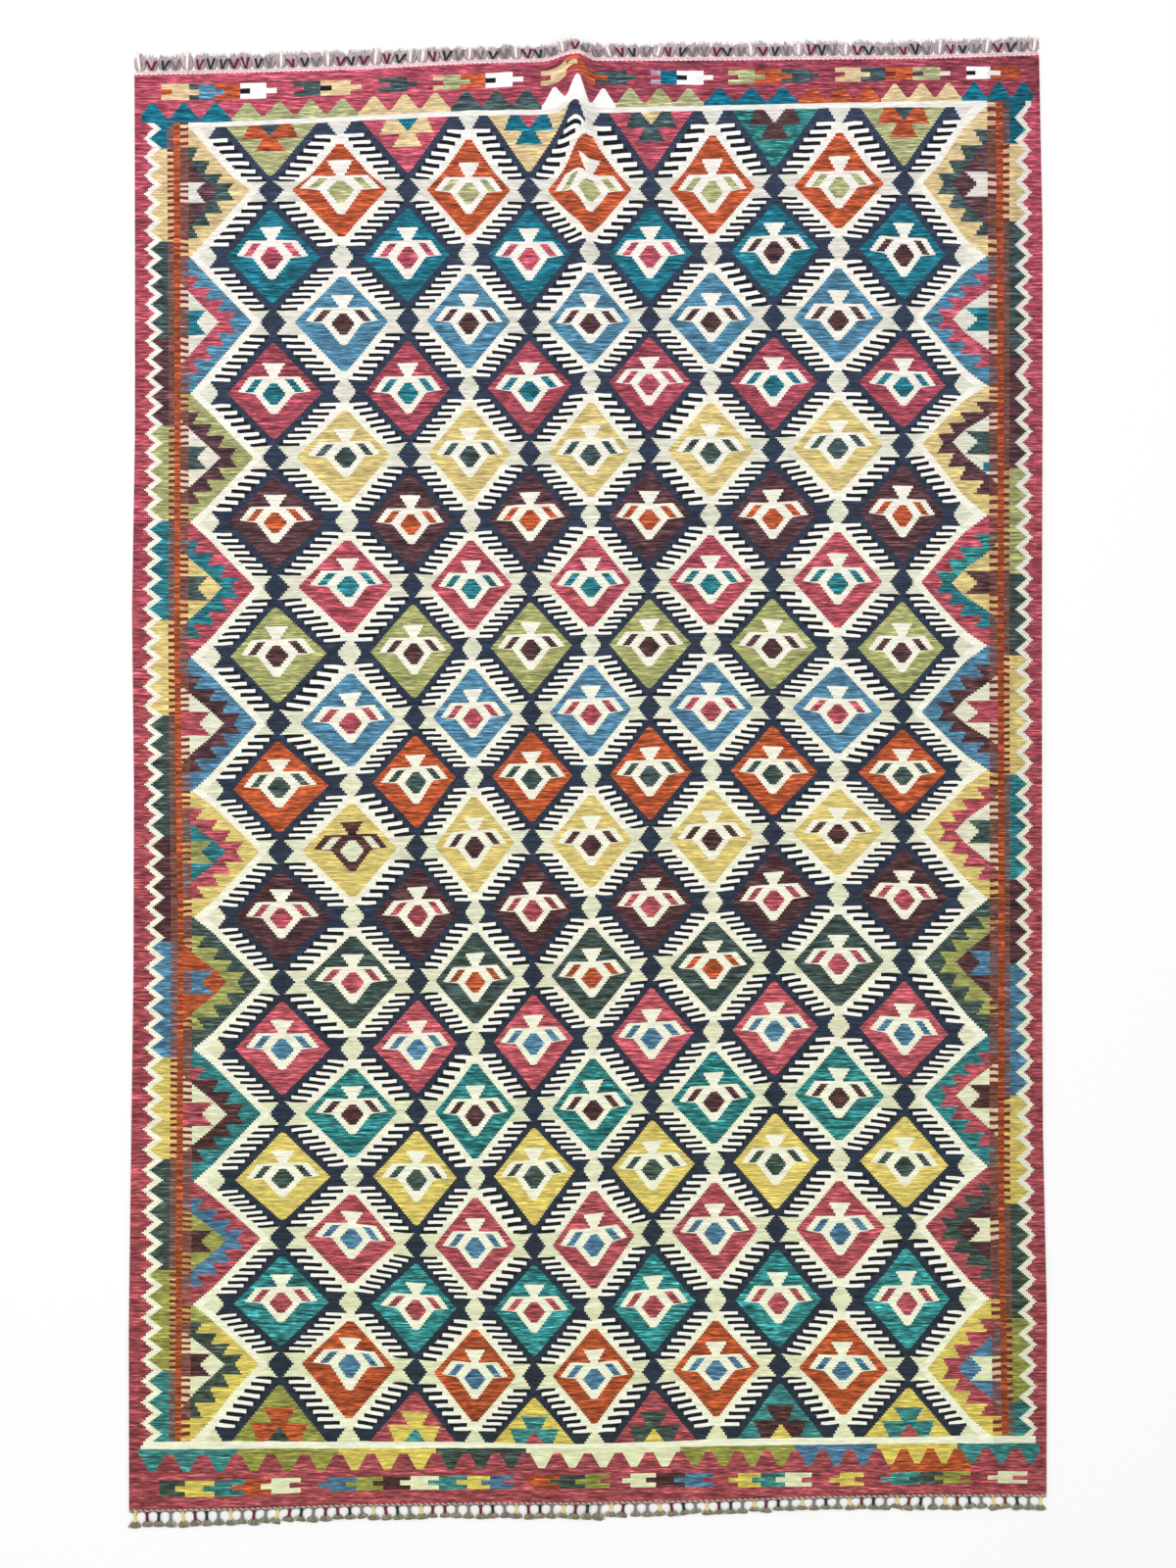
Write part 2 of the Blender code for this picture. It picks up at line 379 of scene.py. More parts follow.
# %% [markdown]
# ### Teeth, blocks and zigzags
#
# The bands at the ends and the zigzags at the sides have counts of their own, because their steps
# don't match the lattice. A group of teeth shares one colour, so each table names the dye, how many
# teeth or blocks it covers and where it starts. The zigzag's table gives the height of a few of its
# outward points and their numbers.

# %% Dyes and end bands
DYES = (
    "rose", "cream", "navy", "black", "white", "teal", "light green", "yellow", "dark green", "aubergine",
    "blue", "orange", "brown", "sea green", "maroon", "lilac", "pale yellow", "ivory", "pale pink",
)
DYE = {name: number for number, name in enumerate(DYES)}

TEETH = {  # dye, number of teeth, where the group starts
    "head": (
        ("teal", 3, 140), ("light green", 4, 236.5), ("yellow", 3, 366), ("dark green", 3, 460),
        ("white", 3, 553), ("light green", 3, 628), ("teal", 3, 718), ("orange", 3, 814.5),
        ("yellow", 3, 899), ("teal", 3, 981), ("rose", 1, 1057),
    ),
    "foot": (
        ("teal", 3, 138.5), ("light green", 3, 242), ("yellow", 3, 345.5), ("dark green", 3, 445),
        ("cream", 5, 537), ("light green", 4, 694), ("blue", 3, 811.5), ("yellow", 3, 894.5),
        ("teal", 3, 976.5), ("rose", 1, 1066),
    ),
}
BLOCKS = {  # dye and where each block starts
    "head": (
        ("yellow", 165), ("blue", 193.5), ("orange", 219.5), ("white", 245.5), ("rose", 272),
        ("dark green", 300), ("yellow", 327), ("rose", 358), ("dark green", 386.5), ("rose", 416),
        ("light green", 442), ("orange", 470), ("white", 495.5), ("rose", 523), ("yellow", 552),
        ("orange", 578), ("dark green", 607), ("rose", 640), ("teal", 664), ("white", 690.5),
        ("rose", 718), ("light green", 743), ("orange", 770), ("dark green", 797), ("rose", 826),
        ("yellow", 852), ("dark green", 878), ("orange", 903), ("light green", 931), ("rose", 959),
        ("white", 986), ("orange", 1010), ("rose", 1038),
    ),
    "foot": (
        ("dark green", 163), ("yellow", 189), ("teal", 219), ("orange", 249), ("cream", 277),
        ("rose", 307), ("blue", 336), ("light green", 364), ("brown", 391), ("cream", 419),
        ("teal", 448), ("yellow", 477), ("blue", 500), ("rose", 524), ("orange", 545),
        ("dark green", 571), ("light green", 597), ("rose", 622), ("cream", 643), ("brown", 669),
        ("blue", 699), ("rose", 728), ("yellow", 753), ("teal", 776), ("cream", 801),
        ("rose", 828), ("yellow", 857), ("rose", 881), ("teal", 909), ("dark green", 939),
        ("light green", 962), ("rose", 990), ("cream", 1018), ("rose", 1042),
    ),
}
PRONGS = {"head": {1: "dark green", 10: "yellow", 18: "lilac"}, "foot": {}}  # of another dye than the block
NOTCHES = {
    "head": {
        0: "orange", 3: "black", 6: "black", 12: "black", 19: "black", 27: "maroon", 28: "brown", 29: "cream",
        30: "black", 32: "rose",
    },
    "foot": {},
}


def teeth_count(end, x):
    """Teeth from the left of an end band, even within each group."""
    groups = TEETH[end]
    return np.interp(x, [start for _, _, start in groups], np.cumsum([0] + [n for _, n, _ in groups[:-1]]))


def block_count(end, x):
    """Blocks from the left of an end, by where each one starts; nought point nought at the first."""
    starts = [start for _, start in BLOCKS[end]]
    return np.interp(x, [starts[0] - 27] + starts, range(-1, len(starts)))


at_head = place_y < CHART_MIDDLE[1]
teeth = np.where(at_head, teeth_count("head", place_x), teeth_count("foot", place_x))
block = np.where(at_head, block_count("head", place_x), block_count("foot", place_x))
print("teeth", teeth.max(), "blocks", block.max())

# %% Side bands
ZIGZAG_POINTS = {  # number and height of some outward points
    "left": (
        (0, 122), (1, 142), (6, 236), (13, 367), (20, 500), (27, 641.5), (34, 779.6), (41, 926),
        (48, 1069), (55, 1214.3), (61, 1344), (67, 1473.5),
    ),
    "right": (
        (0, 108), (1, 133), (5, 218), (12, 368.5), (13, 396), (17, 485), (23, 611.6), (29, 736), (35, 864),
        (41, 994), (48, 1149), (53, 1260), (57, 1350), (62, 1457), (63, 1479),
    ),
}
BAND_DYES = {
    "left": (
        "teal", "yellow", "dark green", "aubergine", "light green", "teal", "yellow", "dark green",
        "aubergine", "blue", "yellow", "dark green", "light green", "teal",
    ),
    "right": (
        "teal", "yellow", "dark green", "aubergine", "light green", "dark green", "yellow", "teal",
        "aubergine", "blue", "yellow", "dark green", "light green", "teal",
    ),
}
BAND_STARTS = {
    "left": (90, 152, 247, 346, 435, 532, 633, 730, 855, 961, 1079, 1182, 1296, 1398, 1500),
    "right": (90, 147, 226, 363, 478, 586, 669, 790.5, 898, 983, 1118, 1228, 1345, 1430, 1500),
}


def side_counts(side):
    """Zigzag points and bands counted down one side."""
    numbers, heights = zip(*ZIGZAG_POINTS[side])
    bands = np.interp(place_y, BAND_STARTS[side], range(len(BAND_STARTS[side])))
    return np.interp(place_y, heights, numbers), bands


on_left = place_x < CHART_MIDDLE[0]
zigzag, band = [np.where(on_left, left, right) for left, right in zip(side_counts("left"), side_counts("right"))]
print("zigzag points", zigzag.max(), "bands", band.max())

# %% Writing the counts on the cloth
def write_counts(piece, name, values):
    """Stores one number a point, for the upper side and again for the lower one below it."""
    attribute = piece.data.attributes.new(name, "FLOAT", "POINT")
    attribute.data.foreach_set("value", np.concatenate([values.ravel(), values[inner]]).astype(np.float32))


margin = (end_y("head", U) + BOX_SHIFT[1] - upper[..., 1]) / MM
for name, values in {
    "column": column, "row": row, "teeth": teeth, "block": block, "zigzag": zigzag, "band": band, "margin": margin,
}.items():
    write_counts(cloth, name, values)
print([attribute.name for attribute in cloth.data.attributes])

# %% [markdown]
# Baking the finish to a picture needs a flat place for every quad. The cloth is a flat sheet
# already, so its own u and v will do. Both sides of a kilim show the same pattern, so they can
# share them.

# %% The flat map
def flat_map(piece, u, v):
    """Gives each corner the u and v of its point."""
    flat = np.stack([np.concatenate([grid.ravel(), grid[inner]]) for grid in (u, v)], axis=-1)
    corners = np.empty(len(piece.data.loops), int)
    piece.data.loops.foreach_get("vertex_index", corners)
    piece.data.uv_layers.new(name="OFBake").data.foreach_set("uv", flat[corners].ravel())


flat_map(cloth, U, V)
print("mapped", len(cloth.data.uv_layers["OFBake"].data), "corners")

# %% [markdown]
# ## Sums in the finish
#
# The pattern is worked out in the material, from counts, with Math nodes. Hundreds of them wired by
# hand would be unreadable, so a small class stands for one output of the node tree. Adding two of
# them makes an Add node, comparing them makes a Less Than node, and the finish can be written as
# plain sums. A mask is 1 inside a shape and 0 outside it.

# %% A number that varies over a surface
class Field:
    """One output in a node tree. Arithmetic on it adds the nodes that work it out."""

    def __init__(self, tree, socket):
        self.tree = tree
        self.socket = socket

    def __add__(self, other):
        return math_node("ADD", self, other)

    def __radd__(self, other):
        return math_node("ADD", other, self)

    def __sub__(self, other):
        return math_node("SUBTRACT", self, other)

    def __rsub__(self, other):
        return math_node("SUBTRACT", other, self)

    def __mul__(self, other):
        return math_node("MULTIPLY", self, other)

    def __rmul__(self, other):
        return math_node("MULTIPLY", other, self)

    def __truediv__(self, other):
        return math_node("DIVIDE", self, other)

    def __lt__(self, other):
        return math_node("LESS_THAN", self, other)

    def __gt__(self, other):
        return math_node("GREATER_THAN", self, other)

    def __and__(self, other):
        return math_node("MULTIPLY", self, other)

    def __or__(self, other):
        return math_node("MAXIMUM", self, other)

    def __abs__(self):
        return math_node("ABSOLUTE", self)


def math_node(operation, *terms):
    """A Math node of that operation on fields and plain numbers."""
    tree = next(term.tree for term in terms if isinstance(term, Field))
    node = tree.nodes.new("ShaderNodeMath")
    node.operation = operation
    for slot, term in zip(node.inputs, terms):
        if isinstance(term, Field):
            tree.links.new(term.socket, slot)
        else:
            slot.default_value = term
    return Field(tree, node.outputs[0])


def whole(field):
    """The whole number below."""
    return math_node("FLOOR", field)


def nearest(field):
    """The nearest whole number."""
    return math_node("FLOOR", field + 0.5)


def part(field):
    """What is left over the whole number below."""
    return math_node("FRACT", field)


def least(one, other):
    """The smaller of two."""
    return math_node("MINIMUM", one, other)


def choose(mask, inside, outside):
    """One value inside a mask and another outside it: a Mix node of two numbers."""
    node = mask.tree.nodes.new("ShaderNodeMix")
    for slot, term in zip((node.inputs[0], node.inputs[2], node.inputs[3]), (mask, outside, inside)):
        if isinstance(term, Field):
            mask.tree.links.new(term.socket, slot)
        else:
            slot.default_value = term
    return Field(mask.tree, node.outputs[0])


print("sums ready")

# %% [markdown]
# A list of dyes, such as the colour of each row, becomes a stepped colour ramp: the ramp's red
# channel holds the number of the dye. Green, blue and alpha can hold three more lists for nothing,
# so one ramp can say the ground, the motif and what is inside it. A list may also hold numbers.

# %% Lists of dyes
RAMP_STOPS = 32
DYE_SCALE = 100.0  # a dye's number is stored as so many hundredths


def listed(index, *lists):
    """What the lists hold at a whole-numbered place, dyes or numbers: stepped ramps, 32 stops each."""
    found = None
    for start in range(0, len(lists[0]), RAMP_STOPS):
        entries = list(zip(*[names[start : start + RAMP_STOPS] for names in lists]))
        node = index.tree.nodes.new("ShaderNodeValToRGB")
        ramp = node.color_ramp
        ramp.interpolation = "CONSTANT"
        while len(ramp.elements) < len(entries):
            ramp.elements.new(1.0)
        for number, names in enumerate(entries):
            channels = [DYE.get(name, name) / DYE_SCALE for name in names] + [0.0] * (4 - len(names))
            ramp.elements[number].position = number / len(entries)
            ramp.elements[number].color = channels
        place = (index - start + 0.5) / float(len(entries))
        index.tree.links.new(place.socket, node.inputs[0])
        split = index.tree.nodes.new("ShaderNodeSeparateColor")
        index.tree.links.new(node.outputs["Color"], split.inputs[0])
        channels = [Field(index.tree, output) for output in (*split.outputs, node.outputs["Alpha"])]
        values = [nearest(channel * DYE_SCALE) for channel in channels[: len(lists)]]
        if found is None:
            found = values
        else:
            found = [choose(index > start - 0.5, new, old) for new, old in zip(values, found)]
    return found if len(lists) > 1 else found[0]


print(len(DYES), "dyes")

# %% [markdown]
# ## The wool's finish
#
# First the tree, and the counts as fields. The count is rounded to whole warps, about 32 to a
# column, so each slanting edge becomes a staircase. Before that, a slow noise lets the wefts wander
# by half a step, as no beaten-down weft is quite straight.

# %% Reading the counts
def new_finish(name):
    """A material with a Principled shader, and its node tree."""
    material = bpy.data.materials.new(name)
    material.use_nodes = True
    return material, material.node_tree


wool, wool_tree = new_finish("kilim_wool")
WARPS_PER_COLUMN = 31.0
WEFT_WANDER = 0.014  # rows


def attribute_field(tree, name):
    """A number stored on the piece."""
    node = tree.nodes.new("ShaderNodeAttribute")
    node.attribute_name = name
    return Field(tree, node.outputs["Fac"])


def joined(tree, x, y, z=0.0):
    """Three numbers as one place, for a texture."""
    node = tree.nodes.new("ShaderNodeCombineXYZ")
    for slot, term in zip(node.inputs, (x, y, z)):
        if isinstance(term, Field):
            tree.links.new(term.socket, slot)
        else:
            slot.default_value = term
    return node.outputs[0]


def noise_field(tree, place, detail=2.0, roughness=0.5, scale=1.0):
    """Soft noise between about 0.25 and 0.75."""
    node = tree.nodes.new("ShaderNodeTexNoise")
    node.inputs["Scale"].default_value = scale
    node.inputs["Detail"].default_value = detail
    node.inputs["Roughness"].default_value = roughness
    tree.links.new(place, node.inputs["Vector"])
    return Field(tree, node.outputs["Fac"])


def spot(tree):
    """Object coordinates as two fields, in metres."""
    coordinates = tree.nodes.new("ShaderNodeTexCoord")
    split = tree.nodes.new("ShaderNodeSeparateXYZ")
    tree.links.new(coordinates.outputs["Object"], split.inputs[0])
    return Field(tree, split.outputs["X"]), Field(tree, split.outputs["Y"])


wool_x, wool_y = spot(wool_tree)
wander = noise_field(wool_tree, joined(wool_tree, wool_x * 22.0, wool_y * 9.0)) - 0.5
warp = attribute_field(wool_tree, "column")
weft = attribute_field(wool_tree, "row") + wander * (WEFT_WANDER * 2)
warp = (whole(warp * WARPS_PER_COLUMN) + 0.5) / WARPS_PER_COLUMN
print("warps to a column", WARPS_PER_COLUMN)

# %% [markdown]
# ### The diamonds
#
# Cut along both diagonals, the field falls into diamond-shaped cells that just touch. The sum and
# the difference of the two counts are whole numbers at a cell's centre, so rounding them finds the
# cell. Inside it, the distance across plus the distance down is the same all along the diamond's
# edge. Counted from the middle of an odd diamond, the ground ends at 0.70 and its cream outline at
# 0.80, and the navy outline and the ground of the even diamond beyond it follow.

# %% Finding the cell
LEAN = 0.93  # a diamond is a little taller than wide
field_warp = math_node("MINIMUM", math_node("MAXIMUM", warp, 0.0), float(LAST_COLUMN))
rising = nearest((field_warp + weft - 1.0) * 0.5)
falling = nearest((field_warp - weft - 1.0) * 0.5)
cell_column = rising + falling + 1.0
cell_row = rising - falling
aside = abs(field_warp - cell_column)
below = weft - cell_row
spread = aside + abs(below) * LEAN
odd_cell = part(cell_row * 0.5) > 0.25
reach = choose(odd_cell, spread, (1.0 + LEAN) - spread)  # from an odd diamond's middle to an even one's
ODD_EDGE = 0.695
EVEN_EDGE = 1.0 + LEAN - 0.68
OUTLINE = 0.135
GROUND_TIP = 0.70  # its upper and lower points are blunt
print("nodes so far", len(wool_tree.nodes))

# %% [markdown]
# ### The comb
#
# Between the cream outlines of one set of diamonds and the navy outlines of the other run short
# bars, dark and white by turns. They lean a little, six or seven to a side. Where four diamonds
# meet there is a small lozenge on a bow tie: navy on cream at the odd rows, cream on navy at the
# even ones. It lies over the outlines.

# %% Bars, lozenges and bow ties
BAR_ROWS = (0.175, 0.833)  # from the odd row to the even one
BAR_LEAN = 0.16
BAR_SHARE = 0.52
CREAM_OUTLINE = 0.135
NAVY_OUTLINE = 0.140
STEM = {"navy": 0.080, "cream": 0.056}  # half the width of a node where it meets its neighbours


def towards(mask):
    """1 where the mask is, otherwise -1."""
    return mask * 2.0 - 1.0


from_odd_row = abs(part(weft * 0.5) * 2.0 - 1.0)
from_odd_column = abs(part(field_warp * 0.5) * 2.0 - 1.0)
near_odd = from_odd_row < 0.5
row_away = least(from_odd_row, 1.0 - from_odd_row)
column_away = choose(near_odd, from_odd_column, 1.0 - from_odd_column)
right_side = field_warp > cell_column
odd_column = choose(odd_cell, cell_column, cell_column + towards(right_side))
odd_row = choose(odd_cell, cell_row, cell_row + towards(below > 0.0))
left_flank = choose(odd_cell, 1.0 - right_side, right_side)
flank = part(odd_column * 0.31 + odd_row * 0.23 + left_flank * 0.5)
bars = choose(flank > 0.25, 7.0, 6.0)
bar_slope = (part(flank * 5.0) - 0.25) * BAR_LEAN
bar_place = (from_odd_row - (reach - 1.0) * bar_slope - BAR_ROWS[0]) / (BAR_ROWS[1] - BAR_ROWS[0])
bar_part = part(bar_place * bars)
dark_bar = (bar_part < BAR_SHARE) & (bar_place > 0.0)
bar_middle = choose(dark_bar, BAR_SHARE / 2, (1 + BAR_SHARE) / 2)
cut_reach = reach + (bar_middle - bar_part) / bars * ((BAR_ROWS[1] - BAR_ROWS[0]) * LEAN)
bar = choose(dark_bar, DYE["black"], DYE["white"])
lozenge_half = choose(near_odd, 0.192 - row_away * 0.81, 0.178 - row_away * 0.75)
stem = choose(near_odd, STEM["navy"], STEM["cream"])
lozenge = (column_away < lozenge_half) | (column_away < stem)
bow_reach = choose(near_odd, BAR_ROWS[0], 1.0 - BAR_ROWS[1])
bow_dye = choose(near_odd, DYE["cream"], DYE["navy"])
lozenge_dye = choose(near_odd, DYE["navy"], DYE["cream"])
comb = choose(cut_reach < ODD_EDGE + CREAM_OUTLINE, DYE["ivory"], bar)
comb = choose(cut_reach > EVEN_EDGE - NAVY_OUTLINE, DYE["navy"], comb)
comb = choose(row_away < bow_reach, choose(lozenge, lozenge_dye, bow_dye), comb)
print("nodes so far", len(wool_tree.nodes))

# %% [markdown]
# ### The rows of diamonds
#
# All diamonds of a row have one ground and one eye, apart from a few where the weaver took another
# yarn. A row has a shade of its own too, as no two dye baths come out the same. All three lists go
# into one ramp.

# %% The rows' dyes
GROUNDS = (
    "orange", "teal", "blue", "rose", "pale yellow", "aubergine", "rose", "light green", "blue", "orange",
    "yellow", "aubergine", "dark green", "rose", "sea green", "yellow", "rose", "sea green", "orange",
)
EYES = (
    "light green", "rose", "brown", "teal", "dark green", "orange", "teal", "brown", "rose", "dark green",
    "brown", "rose", "orange", "blue", "brown", "dark green", "blue", "rose", "blue",
)
SHADES = (47, 48, 50, 31, 51, 47, 51, 55, 57, 55, 50, 46, 46, 77, 39, 55, 57, 57, 50)
SHADE_BASE = 50  # the shades are hundredths over this


def at(field, number):
    """A mask where a whole-numbered field has that value."""
    return abs(field - float(number)) < 0.5


ground, eye_dye, row_shade = listed(cell_row - 1.0, GROUNDS, EYES, SHADES)
eye_dye = choose(at(cell_row, 2) & (cell_column > 8.0), DYE["brown"], eye_dye)
eye_dye = choose(at(cell_row, 13) & ((cell_column < 3.0) | (cell_column > 9.0)), DYE["rose"], eye_dye)
eye_dye = choose(at(cell_row, 4) & at(cell_column, 7), DYE["rose"], eye_dye)
odd_bird = at(cell_row, 11) & at(cell_column, 2)
eye_dye = choose(odd_bird, DYE["cream"], eye_dye)
bird_dye = choose(odd_bird, DYE["brown"], DYE["ivory"])
print("nodes so far", len(wool_tree.nodes))

# %% [markdown]
# ### The bird
#
# Inside each diamond stands a cream figure that weavers call a bird: a tail that narrows to the
# neck, a straight back, wings that slope out to their tips, and a body that ends in a point. A blunt
# lozenge sits in its middle and a slanting slot in each wing. Sizes are in chart steps, counted from
# the line between the wing tips. The birds grow broader towards both sides of the rug, and those of
# the first two rows are taller. In the first two columns they sit a little higher. One bird in the
# first row is larger than the others.

# %% The bird
COLUMN_STEPS = 62.4
ROW_STEPS = 67.2
BIRD_ROW_STEPS = {"first rows": 62.0, "others": 65.5}  # the fewer steps, the taller the bird
WIDER_BY = 1.3  # column steps more for each column away from the middle three
BIRD_HANG = {"first columns": -1.3, "others": 0.7}  # steps below the middle of the diamond
from_middle_three = math_node("MAXIMUM", abs(cell_column - 6.0) - 1.0, 0.0)
column_steps = from_middle_three * WIDER_BY + COLUMN_STEPS
row_steps = choose(cell_row < 2.5, BIRD_ROW_STEPS["first rows"], BIRD_ROW_STEPS["others"])
bird_hang = choose(cell_column < 2.5, BIRD_HANG["first columns"], BIRD_HANG["others"])
bird_size = choose(at(cell_row, 1) & at(cell_column, 2), 0.92, 1.0)
bird_x = aside * column_steps * bird_size
bird_y = (below * row_steps - bird_hang) * bird_size

tail_half = math_node("MAXIMUM", 11.3 - (bird_y + 26.5) * 0.64, 3.8)
tail = (bird_y > -26.5) & (bird_y < -13.0) & (bird_x < tail_half)
wings = (bird_y > -14.0) & (bird_x < 24.5 + (bird_y + 14.0) * 0.79) & (bird_y + bird_x * 0.12 < 4.3)
body = (bird_y > 0.0) & (bird_y < 22.5) & (bird_x < 19.0 - (bird_y - 2.0) * 0.80)
bird = tail | wings | body
eye_y = abs(bird_y - 2.3)
eye = (bird_x + eye_y * 0.85 < 11.8) & (eye_y < 10.5)
slot_line = 15.2 + (bird_y + 11.0) * 0.84
slot = (abs(bird_x - slot_line) < 4.0) & (abs(bird_y + 5.5) < 6.0)
diamond = choose(bird, choose(eye | slot, eye_dye, bird_dye), ground)
print("nodes so far", len(wool_tree.nodes))

# %% [markdown]
# ### Half diamonds at the frame
#
# Rows 0 and 20 show only half of their diamonds, with a stepped figure that hangs from the frame:
# two lobes, a foot that widens, and a small wedge cut into it. It is measured from the frame line.

# %% The half diamonds
HALVES = {
    "head": (
        ("light green", "rose", "yellow", "rose", "sea green", "light green"),
        ("orange", "yellow", "teal", "dark green", "brown", "orange"),
        ("dark green", "teal", "rose", "yellow", "cream", "dark green"),
    ),
    "foot": (
        ("light green", "rose", "yellow", "rose", "teal", "yellow"),
        ("orange", "yellow", "teal", "dark green", "brown", "teal"),
        ("dark green", "teal", "rose", "yellow", "yellow", "rose"),
    ),
}
HALF_STEPS = {"head": 78.0, "foot": 68.0}
lower_half = weft > 10.0
from_frame = least(weft, 20.0 - weft) * choose(lower_half, HALF_STEPS["foot"], HALF_STEPS["head"])
half_x = aside * COLUMN_STEPS
lobes = (from_frame < 15.2) & (half_x < 19.5 + 0.42 * from_frame)
foot_piece = (from_frame < 28.5) & (half_x < 6.6 + 0.57 * (from_frame - 15.2))
wedge = half_x / 10.5 + from_frame / 13.0 < 1.0
place_in_row = (cell_column - 1.0) * 0.5
head_half, foot_half = listed(place_in_row, *HALVES["head"]), listed(place_in_row, *HALVES["foot"])
half_ground, half_figure, half_wedge = [choose(lower_half, f, h) for h, f in zip(head_half, foot_half)]
half_diamond = choose(lobes | foot_piece, choose(wedge, half_wedge, half_figure), half_ground)
is_half = (cell_row < 0.5) | (cell_row > 19.5)
inside_cell = choose(is_half, half_diamond, diamond)
in_ground = ((reach < ODD_EDGE) | (reach > EVEN_EDGE)) & (abs(below) < GROUND_TIP)
lattice = choose(in_ground, inside_cell, comb)
print("nodes so far", len(wool_tree.nodes))

# %% [markdown]
# ### Medallions along the sides
#
# Each odd row ends at both sides in half a medallion. It has the same slopes as a diamond but runs
# on to the border. Inside, a saw-edged shape, a plain wedge and a small hook are stacked. The saw
# is a straight line that starts again at every tooth.

# %% The half medallions
MEDALLIONS = {  # outer, saw, wedge and hook, for rows 1, 3 ... 19
    "left": (
        ("yellow", "blue", "light green", "rose", "blue", "yellow", "dark green", "teal", "rose", "yellow"),
        ("dark green", "rose", "aubergine", "teal", "aubergine", "rose", "light green", "brown", "blue", "dark green"),
        ("aubergine", "cream", "cream", "yellow", "cream", "teal", "orange", "cream", "light green", "cream"),
        ("cream", "teal", "dark green", "dark green", "rose", "light green", "blue", "rose", "brown", "brown"),
    ),
    "right": (
        ("yellow", "blue", "yellow", "rose", "blue", "yellow", "dark green", "teal", "rose", "yellow"),
        ("dark green", "rose", "aubergine", "teal", "aubergine", "rose", "light green", "rose", "dark green", "rose"),
        ("aubergine", "cream", "cream", "yellow", "cream", "cream", "aubergine", "cream", "aubergine", "blue"),
        ("cream", "teal", "dark green", "aubergine", "rose", "dark green", "blue", "brown", "cream", "cream"),
    ),
}
SIDE_STEPS = 66.0
medallion_number = nearest((weft - 1.0) * 0.5)
warp_row_one = at(medallion_number, 0)
inward = least(warp, 12.0 - warp)
right_half = warp > 6.0
deep = (0.70 - inward) * SIDE_STEPS
high = from_odd_row * ROW_STEPS
tooth = (high - 10.5) / 12.5
saw_line = choose(tooth < 0.0, 23.5 - 0.66 * high, 35.0 + 12.2 * whole(tooth) - 6.4 * part(tooth))
saw = (deep > saw_line) & (high < 48.0)
side_wedge = (deep - 33.5) * choose(warp_row_one, 1.3, 1.05) > high
hook = (high < 12.0) & (deep > 55.5 - 0.76 * high)
sides = [listed(medallion_number, *MEDALLIONS[side]) for side in ("left", "right")]
outer_dye, saw_dye, wedge_dye, hook_dye = [choose(right_half, r, l) for l, r in zip(*sides)]
from_medallion = weft - (medallion_number * 2.0 + 1.0)
saw_dye = choose(right_half & at(medallion_number, 3) & (from_medallion < 0.05) & (tooth < 3.0), DYE["sea green"], saw_dye)
saw_dye = choose((1.0 - right_half) & at(medallion_number, 7) & (from_medallion < -0.52), DYE["rose"], saw_dye)
outer_dye = choose((1.0 - right_half) & at(medallion_number, 9) & (from_medallion < -0.70), DYE["light green"], outer_dye)
spot_mask = right_half & at(medallion_number, 2) & (from_medallion > 0.28) & (from_medallion < 0.41) & (deep > 60.0)
wedge_dye = choose(spot_mask, DYE["teal"], wedge_dye)
medallion = choose(hook, hook_dye, choose(side_wedge, wedge_dye, choose(saw, saw_dye, outer_dye)))
reach_in = inward + from_odd_row * LEAN
field_dye = choose(reach_in < ODD_EDGE + OUTLINE, DYE["ivory"], lattice)
field_dye = choose(reach_in < ODD_EDGE, medallion, field_dye)
print("nodes so far", len(wool_tree.nodes))

# %% [markdown]
# ### The borders
#
# Outside the field, the inward count runs on below nought. It is cut into strips: a comb of short
# ticks, the orange rib, a second comb, the plain band, and then a cream zigzag on rose. The zigzag
# is a line that swings to and fro with the zigzag count, given a width.

# %% The side borders
FIELD_EDGE = -BORDER_COUNTS[0]
RIB = (-BORDER_COUNTS[2], -BORDER_COUNTS[1])
BAND_EDGE = -BORDER_COUNTS[3]
ZIGZAG_LINE = -BORDER_COUNTS[4] + 0.030
ZIGZAG_SWING = 0.088
ZIGZAG_STEPS = 12.0  # little steps in one swing to and fro
ZIGZAG_HALF = 0.059
TICKS_PER_ROW = {"left": 10.1, "right": 8.8}
TICK_SHARE = 0.48

zigzag_field = attribute_field(wool_tree, "zigzag")
band_field = whole(attribute_field(wool_tree, "band"))
left_band, right_band = listed(band_field, BAND_DYES["left"], BAND_DYES["right"])
band_dye = choose(right_half, right_band, left_band)
stepped = whole(zigzag_field * ZIGZAG_STEPS + 0.5) / ZIGZAG_STEPS
swing = abs(part(stepped) - 0.5) * 4.0 - 1.0
from_zigzag = inward - (ZIGZAG_LINE - ZIGZAG_SWING * swing)
zigzag_dye = choose(from_zigzag > 0.0, band_dye, DYE["rose"])
zigzag_dye = choose(abs(from_zigzag) < ZIGZAG_HALF, DYE["ivory"], zigzag_dye)
in_ticks = (inward < FIELD_EDGE) & (inward > BAND_EDGE)
in_rib = in_ticks & (inward > RIB[0]) & (inward < RIB[1])
tick_step = choose(right_half, TICKS_PER_ROW["right"], TICKS_PER_ROW["left"])
dark_tick = part(weft * tick_step + wander * 0.6) < TICK_SHARE
neighbour = choose(inward > RIB[0], medallion, band_dye)
merged = at(neighbour, DYE["orange"]) | (hook & at(neighbour, DYE["rose"]))
ticked = choose(dark_tick & (1.0 - merged), DYE["maroon"], neighbour)
border_dye = choose(in_ticks, choose(in_rib, DYE["orange"], ticked), zigzag_dye)
print("nodes so far", len(wool_tree.nodes))

# %% [markdown]
# ### The ends
#
# Beyond the frame line stand the teeth, all in one row on a thin strip of their own colour, and
# then the little blocks. Each block sends a tongue into its neighbour, to the right at the head and
# to the left at the foot.

